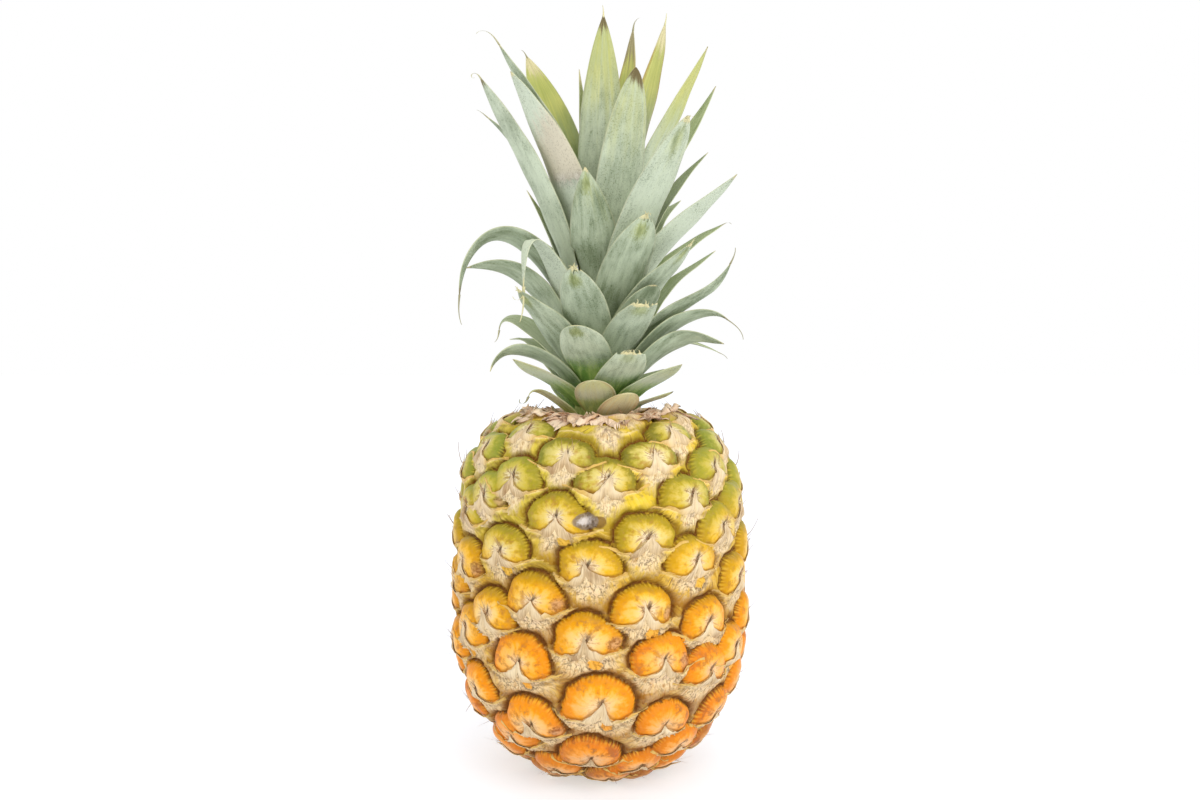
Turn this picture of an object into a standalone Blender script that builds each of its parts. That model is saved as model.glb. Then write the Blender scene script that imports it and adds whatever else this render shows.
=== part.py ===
"""Pineapple standing on its base: knobbly fruit, cut stalk, leafy crown on its stem and a dry collar.

Built in metres, +Z up, base on z = 0, the crown's axis on the Z axis, the front facing -Y.
Lengths in the tables below are millimetres and angles are degrees.
"""

import math
from dataclasses import dataclass
from enum import Enum

import bmesh
import bpy
import numpy as np

MM = 0.001

# Fruit: a barrel of two super-ellipse halves, seat hollow on top, stalk socket below.
FRUIT_RADIUS = 58.3
WAIST_HEIGHT = 60.0
CROWN_RISE = 88.0
BASE_DROP = 63.2
UPPER_POWER = 4.0
LOWER_POWER = 1.95
HOLLOW_RADIUS = 25.0
HOLLOW_DEPTH = 4.6
SEAT_RADIUS = 13.0
SEAT_FLOOR = 139.5
SOCKET_RADIUS = 13.2
SOCKET_DEPTH = 6.0
FRUIT_STEPS = 96
FRUIT_RINGS = 38

# Eyes: one spiral of fruitlets at the natural divergence, rising steadily along the barrel.
EYE_FIRST, EYE_LAST = -31, 102
EYE_DIVERGENCE = 137.29
EYE_TURN = 98.6
EYE_MIDDLE = 35
EYE_ARC = 110.7
EYE_PITCH = 1.283
DOME_HALF_WIDTH = 12.2
DOME_HALF_HEIGHT = 7.8
DOME_LIFT = 2.6
DOME_RELIEF = 3.0
GROOVE_DEPTH = 1.2

# Natural unevenness on the front: eye number to its shift right and up.
EYE_SHIFTS = {
    -13: (6.5, 1.0), 0: (-2.5, 0.5), 3: (2.0, -3.0), 5: (2.0, 4.0), 8: (8.0, 1.0), 11: (1.5, 6.5),
    21: (-7.5, -1.0), 24: (-5.5, -3.0), 29: (0.5, -1.5), 32: (-3.5, -2.0), 34: (-6.5, -2.0),
    37: (3.0, -1.0), 42: (-4.5, -4.0), 45: (5.5, 5.5), 47: (-8.5, -1.0), 50: (-2.0, -1.0),
    53: (3.5, 6.0), 55: (-3.0, -3.0), 58: (0.5, -1.0), 60: (6.5, 3.5), 63: (1.0, -0.5),
    66: (2.0, 2.5), 71: (1.5, 3.5), 76: (-4.0, -3.5), 79: (3.5, 1.5), 84: (-0.5, -4.0),
    89: (8.0, 0.0), 100: (-4.0, 1.0),
}  # fmt: skip
EYES_ABSENT = (-5, 13, 16, 92, 97)
EYE_GROWTH = {-13: 1.15, 0: 1.10, 8: 1.15, 21: 1.07, 29: 1.03}
SHIFT_SPREAD = 24.0

# Stalk stub and crown stem.
STALK_RADIUS = 12.6
STALK_TOP = 5.6
STEM_FOOT, STEM_HEAD = 140.0, 205.0
STEM_FOOT_RADIUS, STEM_HEAD_RADIUS = 12.0, 2.2

# Collar of dry bracts around the crown's foot.
COLLAR_INNER, COLLAR_OUTER = 13.4, 30.0
COLLAR_LOBES = 13
COLLAR_THICKNESS = 0.5

# Crown leaves.
LEAF_THICKNESS = 0.8
LEAF_CLEARANCE = 0.9
LEAF_ALONG, LEAF_ACROSS = 8, 4
LEAF_FIRST_RISE = 4.6
LEAF_LOW_LEAN, LEAF_TOP_LEAN = 54.0, 7.0


class Tip(Enum):
    """How a leaf ends: narrowing power, roundness, share of the length kept, place of the widest part."""

    POINT = (1.5, 1.0, 1.0, 0.38)
    SLIM = (1.1, 1.0, 1.0, 0.30)
    BROAD = (2.0, 0.9, 1.0, 0.42)
    BLUNT = (2.4, 0.7, 1.0, 0.45)
    ROUND = (2.6, 0.55, 1.0, 0.45)
    CUT = (2.2, 0.75, 0.86, 0.40)
    TAIL = (0.9, 1.1, 1.0, 0.25)


@dataclass(frozen=True)
class Blade:
    """A crown leaf: heading from the front toward +X, tip radius and height, width, tip lean and shape."""

    name: str
    turn: float
    reach: float
    top: float
    width: float
    arch: float
    tip: Tip = Tip.POINT
    bow: float = 0.42
    hang: float = 0.34
    twist: float = 0.0
    sway: float = 0.0
    wrap: float = 0.7


BLADES = (
    Blade("front_low_right", 20, 32, 157, 16, 55, Tip.ROUND),
    Blade("back_01", 172, 34, 160, 19.5, 70),
    Blade("left_low_curl", -62, 33, 154, 13, 160, bow=0.7, hang=0.3, twist=40),
    Blade("right_low", 60, 34, 157, 14, 62, twist=-20),
    Blade("back_02", -142, 36, 163, 20.5, 72),
    Blade("front_low_left", -5, 32, 162, 17, 50, Tip.ROUND),
    Blade("back_03", 132, 38, 165, 20.5, 72),
    Blade("right_low_broad", 50, 42, 168, 18, 58, twist=-20),
    Blade("left_low_broad", -55, 42, 170, 18, 60, twist=20),
    Blade("back_04", 176, 42, 168, 21.5, 75),
    Blade("front_cut", 18, 40, 173, 19, 45, Tip.CUT),
    Blade("back_06", -124, 48, 178, 21.5, 95, bow=0.55),
    Blade("back_05", 152, 46, 176, 21.5, 80),
    Blade("right_droop", 60, 56, 176, 18, 108, bow=0.6, twist=-42),
    Blade("left_droop", -60, 50, 165, 17, 165, bow=0.68, hang=0.3, twist=42),
    Blade("right_under", 118, 60, 172, 14, 112, bow=0.6, twist=20),
    Blade("front_round", -11, 48, 183, 21.5, 52, Tip.ROUND),
    Blade("left_curl", -112, 47, 181, 16, 178, bow=0.8, hang=0.28, twist=-35),
    Blade("right_dried", 66, 56, 185, 19, 130, bow=0.32, twist=-24),
    Blade("left_broad", -42, 47, 197, 20, 50, Tip.BROAD),
    Blade("back_07", -156, 52, 190, 21.5, 90, bow=0.55),
    Blade("front_cut_right", 23, 45, 191, 18.5, 60, Tip.CUT, wrap=0.62),
    Blade("right_thin", 128, 66, 218, 14, 60, bow=0.55),
    Blade("front_frayed", -12, 48, 205, 20, 40, Tip.BLUNT),
    Blade("right_upcurl", 62, 58, 208, 16, 25, Tip.SLIM, bow=0.46, hang=0.3, twist=-35),
    Blade("back_08", -176, 52, 206, 21.5, 85, bow=0.5),
    Blade("left_level", -68, 57, 206, 18, 105, bow=0.6, twist=45),
    Blade("front_dark", 36, 36, 199, 18, 38, Tip.ROUND),
    Blade("back_09", 158, 54, 216, 21.5, 75),
    Blade("left_hang", -42, 44, 197, 19, 182, Tip.TAIL, bow=1.3, hang=0.7),
    Blade("right_broken", 46, 49, 215, 18, 42, Tip.BROAD),
    Blade("back_10", -132, 54, 226, 20.5, 80, bow=0.5),
    Blade("right_tip_curl", 112, 58, 228, 16, 62, twist=20),
    Blade("front_big", 23, 45, 225, 22, 36, Tip.BLUNT),
    Blade("left_ribbon", -62, 62, 194, 19, 178, Tip.SLIM, bow=1.15, hang=0.5, twist=55),
    Blade("back_11", 136, 52, 240, 21.5, 62, wrap=0.6),
    Blade("right_lance", 58, 62, 241, 19, 50, twist=-20),
    Blade("left_brown", -110, 33, 241, 15, 34),
    Blade("right_shade", 122, 56, 260, 18, 50),
    Blade("right_broad", 36, 56, 261, 20, 34, Tip.BLUNT),
    Blade("left_tall", -68, 51, 281, 18, 32, Tip.BROAD, twist=25, wrap=0.46),
    Blade("back_12", 178, 46, 262, 22.5, 48),
    Blade("front_fold", -5, 32, 244, 21, 22, Tip.BROAD, sway=-3, wrap=0.5),
    Blade("left_outer", -97, 48, 271, 16, 50, twist=28, wrap=0.5),
    Blade("right_back", 118, 57, 288, 18, 30, twist=15),
    Blade("front_brown_tip", 24, 34, 282, 21, 14, Tip.BLUNT, wrap=0.48),
    Blade("back_13", -148, 40, 276, 21.5, 36),
    Blade("left_pale", -46, 47.5, 280, 22, 42, Tip.BROAD, wrap=0.48),
    Blade("right_slender", 66, 46.5, 293, 17, 28, twist=-25),
    Blade("left_lime", -110, 33, 297, 26, 26, Tip.BROAD, wrap=0.48, twist=-52),
    Blade("inner_tan", 140, 22, 310, 15, 10, Tip.BROAD, wrap=0.62),
    Blade("left_slender", -50, 51, 291, 18, 42, wrap=0.5),
    Blade("right_yellow", 64, 29, 304, 16, 12, Tip.BROAD, twist=-28, wrap=0.62),
    Blade("inner_thin", -120, 10, 290, 13, 6),
    Blade("tallest", 8, 10, 308, 21, 3, Tip.BROAD, wrap=1.4),
)


def smooth(x):
    """Hermite step from 0 to 1."""
    x = np.clip(x, 0.0, 1.0)
    return x * x * (3.0 - 2.0 * x)


def barrel_radius(z):
    """Radius of the smooth barrel at height z."""
    up = z > WAIST_HEIGHT
    t = np.abs(z - WAIST_HEIGHT) / np.where(up, CROWN_RISE, BASE_DROP)
    power = np.where(up, UPPER_POWER, LOWER_POWER)
    return FRUIT_RADIUS * np.maximum(0.0, 1.0 - np.minimum(t, 1.0) ** power) ** (1.0 / power)


def barrel_curve(count):
    """Barrel outline from the flat base to the hollow's edge, evenly spaced along its length.

    Returns:
        radii, heights and arc length measured from the pole below the base.
    """
    a = np.linspace(0.0, 1.0, 4001)
    zs = WAIST_HEIGHT - BASE_DROP + (BASE_DROP + CROWN_RISE) * (1 - np.cos(np.pi * a)) / 2
    rs = barrel_radius(zs)
    arc = np.concatenate([[0.0], np.cumsum(np.hypot(np.diff(rs), np.diff(zs)))])
    low = arc[np.searchsorted(zs, 0.0)]
    high = arc[-1] - HOLLOW_RADIUS
    at = np.linspace(low, high, count)
    return np.interp(at, arc, rs), np.interp(at, arc, zs), at


def eye_centres():
    """Azimuth in radians, arc height in millimetres and growth of every eye, shifted as EYE_SHIFTS says."""
    index = np.setdiff1d(np.arange(EYE_FIRST, EYE_LAST + 1), EYES_ABSENT)
    step = index - EYE_MIDDLE
    turn = np.radians(EYE_TURN + step * EYE_DIVERGENCE)
    arc = EYE_ARC + EYE_PITCH * step
    known = np.array(sorted(EYE_SHIFTS))
    shift = np.array([EYE_SHIFTS[k] for k in known])
    at = np.searchsorted(index, known)
    apart = (turn[:, None] - turn[at][None] + np.pi) % (2 * np.pi) - np.pi
    away = np.hypot(apart * FRUIT_RADIUS, arc[:, None] - arc[at][None])
    weight = np.exp(-((away / SHIFT_SPREAD) ** 2))
    moved = (weight @ shift) / (weight.sum(axis=1, keepdims=True) + 0.5)
    moved[at] = shift
    growth = np.array([EYE_GROWTH.get(int(k), 1.0) for k in index])
    return turn + moved[:, 0] / FRUIT_RADIUS, arc + moved[:, 1], growth


def eye_relief(turn, arc, radius):
    """Height of the eyes over the barrel at points given by azimuth, arc length and radius."""
    centre_turn, centre_arc, growth = eye_centres()
    apart = (turn[:, None] - centre_turn[None] + np.pi) % (2 * np.pi) - np.pi
    size = np.clip(radius[:, None] / FRUIT_RADIUS, 0.4, 1.0) ** 0.4
    u = apart * radius[:, None]
    v = arc[:, None] - centre_arc[None] - DOME_LIFT * size
    grown = size * growth[None]
    near = np.hypot(u / (DOME_HALF_WIDTH * grown), v / (DOME_HALF_HEIGHT * grown)).min(axis=1)
    dome = DOME_RELIEF * np.maximum(0.0, 1.0 - near**2) ** 0.6
    groove = GROOVE_DEPTH * smooth((near - 0.8) / 0.4) * (1.0 - 0.5 * smooth((near - 1.15) / 0.5))
    return (dome - groove) * size[:, 0]


def fresh_collection(name, hidden=False):
    """Makes a collection in the scene; a hidden one holds shapes that are cut away."""
    made = bpy.data.collections.new(name)
    bpy.context.scene.collection.children.link(made)
    made.hide_render = hidden
    return made


def finish(name, colour, roughness):
    """A plain Principled material."""
    made = bpy.data.materials.new(name)
    made.use_nodes = True
    shader = made.node_tree.nodes["Principled BSDF"]
    shader.inputs["Base Color"].default_value = (*colour, 1.0)
    shader.inputs["Roughness"].default_value = roughness
    made.diffuse_color = (*colour, 1.0)
    return made


def add_object(name, bm, collection, material):
    """Turns a bmesh in millimetres into a smooth-shaded object in metres."""
    bmesh.ops.scale(bm, vec=(MM, MM, MM), verts=bm.verts)
    mesh = bpy.data.meshes.new(name)
    bm.to_mesh(mesh)
    bm.free()
    mesh.materials.append(material)
    made = bpy.data.objects.new(name, mesh)
    collection.objects.link(made)
    for face in mesh.polygons:
        face.use_smooth = True
    return made


def spun(profile, steps):
    """Closed solid of revolution from (radius, height) pairs that start and end on the axis."""
    bm = bmesh.new()
    rings = []
    for radius, height in profile:
        if radius < 1e-6:
            rings.append([bm.verts.new((0.0, 0.0, height))])
            continue
        angles = [2 * math.pi * k / steps for k in range(steps)]
        rings.append([bm.verts.new((radius * math.sin(a), -radius * math.cos(a), height)) for a in angles])
    for low, high in zip(rings, rings[1:]):
        for k in range(steps):
            nxt = (k + 1) % steps
            corners = [low[k % len(low)], low[nxt % len(low)], high[nxt % len(high)], high[k % len(high)]]
            bm.faces.new(list(dict.fromkeys(corners)))
    bmesh.ops.recalc_face_normals(bm, faces=bm.faces)
    return bm


def top_outline():
    """Radius and height of the crown's hollow from the seat outward, then of the shoulder, both rising outward."""
    radii, heights, _ = barrel_curve(200)
    shoulder = [(float(r), float(z)) for r, z in zip(radii, heights) if z > WAIST_HEIGHT + 20]
    rim_radius, rim_height = shoulder[-1]
    hollow = []
    for share in (0.66, 0.82):
        dip = HOLLOW_DEPTH * float(smooth((1.0 - share) * 2.4))
        hollow.append((rim_radius * share, rim_height + (1.0 - share) * 2.0 - dip))
    seat = (SEAT_RADIUS, hollow[0][1] - 0.6)
    return np.array([seat] + hollow + shoulder[::-1])


def build_fruit(collection, material):
    """Knobbly barrel with a socket for the stalk and a seat for the crown."""
    radii, heights, arcs = barrel_curve(FRUIT_RINGS)
    heights[0] = 0.0
    profile = [(0.0, SOCKET_DEPTH), (SOCKET_RADIUS, SOCKET_DEPTH), (SOCKET_RADIUS, 0.0)]
    knobbly = {}
    for radius, height, arc in zip(radii, heights, arcs):
        knobbly[len(profile)] = arc
        profile.append((radius, height))
    profile += [tuple(map(float, point)) for point in top_outline()[2::-1]]
    profile.append((SEAT_RADIUS - 0.3, SEAT_FLOOR))
    profile.append((0.0, SEAT_FLOOR))
    bm = spun(profile, FRUIT_STEPS)
    bm.verts.ensure_lookup_table()
    first = 1 + 2 * FRUIT_STEPS
    for row, arc in zip(range(FRUIT_RINGS), knobbly.values()):
        ring = [bm.verts[first + row * FRUIT_STEPS + k] for k in range(FRUIT_STEPS)]
        turn = np.array([2 * math.pi * k / FRUIT_STEPS for k in range(FRUIT_STEPS)])
        radius = np.full(FRUIT_STEPS, radii[row])
        bump = eye_relief(turn, np.full(FRUIT_STEPS, arc), radius)
        fade = float(smooth((heights[row] - 0.5) / 9.0) * smooth((FRUIT_RINGS - 1 - row) / 2.0))
        lower, upper = max(row - 1, 0), min(row + 1, FRUIT_RINGS - 1)
        slope = np.array([heights[upper] - heights[lower], -(radii[upper] - radii[lower])])
        slope /= np.hypot(*slope)
        for vert, a, b in zip(ring, turn, bump * fade):
            vert.co.x += math.sin(a) * slope[0] * b
            vert.co.y -= math.cos(a) * slope[0] * b
            vert.co.z += slope[1] * b
    return add_object("fruit", bm, collection, material)


def build_stalk(collection, material):
    """Short cut stalk whose face is flush with the base."""
    radius = STALK_RADIUS
    profile = [(0.0, 0.0), (radius, 0.0), (radius, STALK_TOP), (0.0, STALK_TOP)]
    return add_object("stalk_stub", spun(profile, 40), collection, material)


def stem_radius(z):
    """Radius of the crown stem at height z."""
    share = (z - STEM_FOOT) / (STEM_HEAD - STEM_FOOT)
    return STEM_FOOT_RADIUS + (STEM_HEAD_RADIUS - STEM_FOOT_RADIUS) * share


def build_stem(collection, material):
    """Tapered stem that carries the leaves."""
    heights = np.linspace(STEM_FOOT, STEM_HEAD, 9)
    profile = [(0.0, STEM_FOOT)] + [(float(stem_radius(z)), float(z)) for z in heights]
    profile.append((0.0, STEM_HEAD + 1.0))
    return add_object("crown_stem", spun(profile, 28), collection, material)


def build_collar(collection, material):
    """Ragged dry collar that follows the hollow and lies over the fruit's shoulder."""
    bm = bmesh.new()
    outline = top_outline()
    steps, rows = 66, 4
    grid = []
    for i in range(rows):
        share = i / (rows - 1)
        ring = []
        for k in range(steps):
            a = 2 * math.pi * k / steps
            lobe = abs(math.sin(a * COLLAR_LOBES / 2 + 0.4 * math.sin(3 * a))) ** 0.6
            ragged = 0.66 + 0.24 * lobe + 0.10 * math.sin(5 * a + 1.0)
            radius = COLLAR_INNER + (COLLAR_OUTER - COLLAR_INNER) * share * ragged
            bed = float(np.interp(radius, outline[:, 0], outline[:, 1]))
            curl = share**1.6 * (0.9 + 0.9 * math.sin(4 * a + 0.7))
            height = bed + 0.5 + 0.9 * share + curl
            ring.append(bm.verts.new((radius * math.sin(a), -radius * math.cos(a), height)))
        grid.append(ring)
    for low, high in zip(grid, grid[1:]):
        for k in range(steps):
            n = (k + 1) % steps
            bm.faces.new((low[n], low[k], high[k], high[n]))
    made = add_object("collar", bm, collection, material)
    shell = made.modifiers.new("sheet", "SOLIDIFY")
    shell.thickness = COLLAR_THICKNESS * MM
    shell.offset = 1.0
    return made


def leaf_root(index):
    """Radius, height and lean in radians where leaf number index leaves the stem."""
    share = index / (len(BLADES) - 1)
    height = STEM_FOOT + LEAF_FIRST_RISE + 40.0 * share + 16.0 * share**2
    lean = LEAF_LOW_LEAN - (LEAF_LOW_LEAN - LEAF_TOP_LEAN) * share**0.8
    return float(stem_radius(height)) + LEAF_CLEARANCE, height, math.radians(lean)


def leaf_grid(index, blade, along, across):
    """Points of a leaf's middle surface.

    Returns:
        array of (along + 1, across + 1, 3) in millimetres, root first.
    """
    root_radius, root_height, lean0 = leaf_root(index)
    lean1 = math.radians(blade.arch)
    start, end = np.array([root_radius, root_height]), np.array([blade.reach, blade.top])
    chord = float(np.hypot(*(end - start)))
    knee = start + blade.bow * chord * np.array([math.sin(lean0), math.cos(lean0)])
    wrist = end - blade.hang * chord * np.array([math.sin(lean1), math.cos(lean1)])
    u = np.linspace(0.0, 1.0, 201)[:, None]
    line = (1 - u) ** 3 * start + 3 * (1 - u) ** 2 * u * knee + 3 * (1 - u) * u**2 * wrist + u**3 * end
    arc = np.concatenate([[0.0], np.cumsum(np.hypot(*np.diff(line, axis=0).T))])
    share = np.linspace(0.0, 1.0, along + 1) ** 0.9
    at = share * arc[-1]
    radius, height = np.interp(at, arc, line[:, 0]), np.interp(at, arc, line[:, 1])
    way = np.gradient(line, axis=0)
    lean = np.interp(at, arc, np.unwrap(np.arctan2(way[:, 0], way[:, 1])))

    narrowing, roundness, kept, widest = blade.tip.value
    rise = 0.62 + 0.38 * np.sin(np.pi / 2 * np.minimum(share / widest, 1.0))
    past = np.clip((share * kept - widest) / (1.0 - widest), 0.0, 1.0)
    half = np.maximum(blade.width / 2 * rise * (1.0 - past**narrowing) ** roundness, 0.4)
    half = np.minimum(half, blade.wrap * radius + 60.0 * smooth((radius - 16.0) / 14.0))

    heading = math.radians(blade.turn)
    out = np.array([math.sin(heading), -math.cos(heading), 0.0])
    side = np.array([math.cos(heading), math.sin(heading), 0.0])
    up = np.array([0.0, 0.0, 1.0])
    grid = np.zeros((along + 1, across + 1, 3))
    for i in range(along + 1):
        v = np.linspace(-1.0, 1.0, across + 1)[:, None] * half[i]
        inward = -out * math.cos(lean[i]) + up * math.sin(lean[i])
        roll = math.radians(blade.twist) * share[i] ** 1.5
        flat = side * math.cos(roll) + inward * math.sin(roll)
        inward = inward * math.cos(roll) - side * math.sin(roll)
        free = float(smooth((at[i] - 8.0) / 30.0))
        bend = (1 - free) * radius[i] / max(math.cos(lean[i]), 0.35) + free * blade.width * 0.85
        middle = out * radius[i] + up * height[i]
        opened = middle + flat * bend * np.sin(v / bend) + inward * bend * (1 - np.cos(v / bend))
        around = heading + v / radius[i]
        sheath = radius[i] * (np.sin(around) * [1.0, 0.0, 0.0] - np.cos(around) * [0.0, 1.0, 0.0])
        sheath = sheath + up * height[i]
        grid[i] = sheath * (1 - free) + opened * free + side * blade.sway * share[i] ** 2
    return grid


def grid_faces(along, across):
    """Corner numbers of the quads of a leaf grid."""
    wide = across + 1
    return [
        (i * wide + j, i * wide + j + 1, (i + 1) * wide + j + 1, (i + 1) * wide + j)
        for i in range(along)
        for j in range(across)
    ]


def build_leaf(index, blade, collection, material):
    """One closed leaf."""
    grid = leaf_grid(index, blade, LEAF_ALONG, LEAF_ACROSS)
    bm = bmesh.new()
    verts = [bm.verts.new(p) for p in grid.reshape(-1, 3)]
    for corners in grid_faces(LEAF_ALONG, LEAF_ACROSS):
        bm.faces.new([verts[c] for c in corners])
    made = add_object(f"leaf_{index + 1:02d}_{blade.name}", bm, collection, material)
    shell = made.modifiers.new("blade", "SOLIDIFY")
    shell.thickness = LEAF_THICKNESS * MM
    shell.offset = 0.0
    return made


def main():
    for old in list(bpy.data.objects):
        bpy.data.objects.remove(old, do_unlink=True)
    home = fresh_collection("pineapple")
    rind = finish("rind", (0.72, 0.42, 0.08), 0.5)
    wood = finish("stalk_fibre", (0.55, 0.42, 0.24), 0.8)
    pith = finish("crown_pith", (0.62, 0.66, 0.36), 0.7)
    husk = finish("dry_bract", (0.66, 0.50, 0.36), 0.8)
    green = finish("leaf_skin", (0.36, 0.45, 0.27), 0.45)

    build_fruit(home, rind)
    build_stalk(home, wood)
    build_stem(home, pith)
    build_collar(home, husk)
    for index, blade in enumerate(BLADES):
        build_leaf(index, blade, home, green)


main()
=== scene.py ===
"""Pineapple with its crown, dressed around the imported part.

Lengths in the tables are millimetres, angles are degrees; meshes are written in metres. The base is on z = 0,
the crown's axis is the Z axis, the front faces -Y, and a heading turns from the front toward +X.
"""

import logging
import math
from dataclasses import dataclass
from enum import Enum

import bmesh
import bpy
import numpy as np
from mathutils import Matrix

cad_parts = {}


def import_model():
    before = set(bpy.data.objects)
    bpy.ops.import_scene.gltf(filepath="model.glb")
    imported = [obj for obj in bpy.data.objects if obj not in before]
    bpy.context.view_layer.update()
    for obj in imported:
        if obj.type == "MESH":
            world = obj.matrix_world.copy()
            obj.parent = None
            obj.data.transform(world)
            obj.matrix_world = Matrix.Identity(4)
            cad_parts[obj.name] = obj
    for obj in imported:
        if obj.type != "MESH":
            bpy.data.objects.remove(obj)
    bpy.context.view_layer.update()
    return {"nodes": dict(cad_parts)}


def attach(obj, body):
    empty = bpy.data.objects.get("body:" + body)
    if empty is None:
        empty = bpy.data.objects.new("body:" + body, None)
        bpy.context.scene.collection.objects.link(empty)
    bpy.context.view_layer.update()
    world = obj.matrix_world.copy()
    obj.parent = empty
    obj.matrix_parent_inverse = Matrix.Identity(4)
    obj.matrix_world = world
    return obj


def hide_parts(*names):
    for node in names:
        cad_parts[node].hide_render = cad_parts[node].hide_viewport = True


LOG = logging.getLogger("pineapple")
MM = 0.001
# Millimetres to one unit of a UV map.
CHART_UNIT = 10.0
# Radius that turns a small step round the fruit into an angle.
GIRTH = 58.0
# Spreads the leaves' seeds evenly.
GOLDEN_SHARE = 0.618
BODY = "root"
Array = np.ndarray
Colour = tuple[float, float, float, float]
Ramp = tuple[tuple[float, Colour], ...]


def smooth(x: Array | float) -> Array:
    """Hermite step from 0 to 1."""
    x = np.clip(x, 0.0, 1.0)
    return x * x * (3.0 - 2.0 * x)


def tone(red: int, green: int, blue: int) -> Colour:
    """Linear colour from display values of 0 to 255.

    Args:
        red: red.
        green: green.
        blue: blue.

    Returns:
        the colour.
    """
    parts = [c / 255.0 for c in (red, green, blue)]
    linear = [c / 12.92 if c <= 0.04045 else ((c + 0.055) / 1.055) ** 2.4 for c in parts]
    return linear[0], linear[1], linear[2], 1.0


def wander(points: Array, pitch: float, seed: int) -> Array:
    """Gentle unevenness, about -1 to 1, from a few crossed waves.

    Args:
        points: (n, 2) or (n, 3) places in millimetres.
        pitch: typical distance between bumps in millimetres.
        seed: picks the waves.

    Returns:
        one value a point.
    """
    waves, usual_sum = 7, 2.6
    dice = np.random.RandomState(seed)
    total = np.zeros(len(points))
    for _ in range(waves):
        way = dice.normal(size=points.shape[1])
        way *= 2 * np.pi / pitch / np.linalg.norm(way) * dice.uniform(0.6, 1.6)
        total += np.sin(points @ way + dice.uniform(0, 6.28))
    return total / usual_sum


# ---------------------------------------- finishes


class Wire:
    """A number that flows through a material, with the usual arithmetic."""

    def __init__(self, graph: "Graph", socket: bpy.types.NodeSocket) -> None:
        """Keeps the graph and the socket that the number comes from."""
        self.graph = graph
        self.socket = socket

    def __add__(self, other: "Wire | float") -> "Wire":
        """Sum."""
        return self.graph.math("ADD", self, other)

    __radd__ = __add__

    def __sub__(self, other: "Wire | float") -> "Wire":
        """Difference."""
        return self.graph.math("SUBTRACT", self, other)

    def __rsub__(self, other: float) -> "Wire":
        """Difference from a number."""
        return self.graph.math("SUBTRACT", other, self)

    def __mul__(self, other: "Wire | float") -> "Wire":
        """Product."""
        return self.graph.math("MULTIPLY", self, other)

    def __truediv__(self, other: "Wire | float") -> "Wire":
        """Quotient."""
        return self.graph.math("DIVIDE", self, other)

    def __abs__(self) -> "Wire":
        """Size without sign."""
        return self.graph.math("ABSOLUTE", self)

    def most(self, other: "Wire | float") -> "Wire":
        """The larger of two."""
        return self.graph.math("MAXIMUM", self, other)

    def _step(self, *limits: float) -> "Wire":
        """Smooth step.

        Args:
            limits: the values where it starts and ends, and its heights there.

        Returns:
            the step.
        """
        node = self.graph.node("ShaderNodeMapRange", interpolation_type="SMOOTHSTEP")
        for socket, value in zip(node.inputs, (self, *limits)):
            self.graph.feed(socket, value)
        return Wire(self.graph, node.outputs[0])

    def rise(self, low: float, high: float) -> "Wire":
        """Smooth step from 0 at low to 1 at high."""
        return self._step(low, high, 0.0, 1.0)

    def fall(self, low: float, high: float) -> "Wire":
        """Smooth step from 1 at low to 0 at high."""
        return self._step(low, high, 1.0, 0.0)

    def band(self, low: float, middle: float, high: float) -> "Wire":
        """Bump of height 1 at middle that ends at low and high."""
        return self.rise(low, middle) * self.fall(middle, high)


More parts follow.
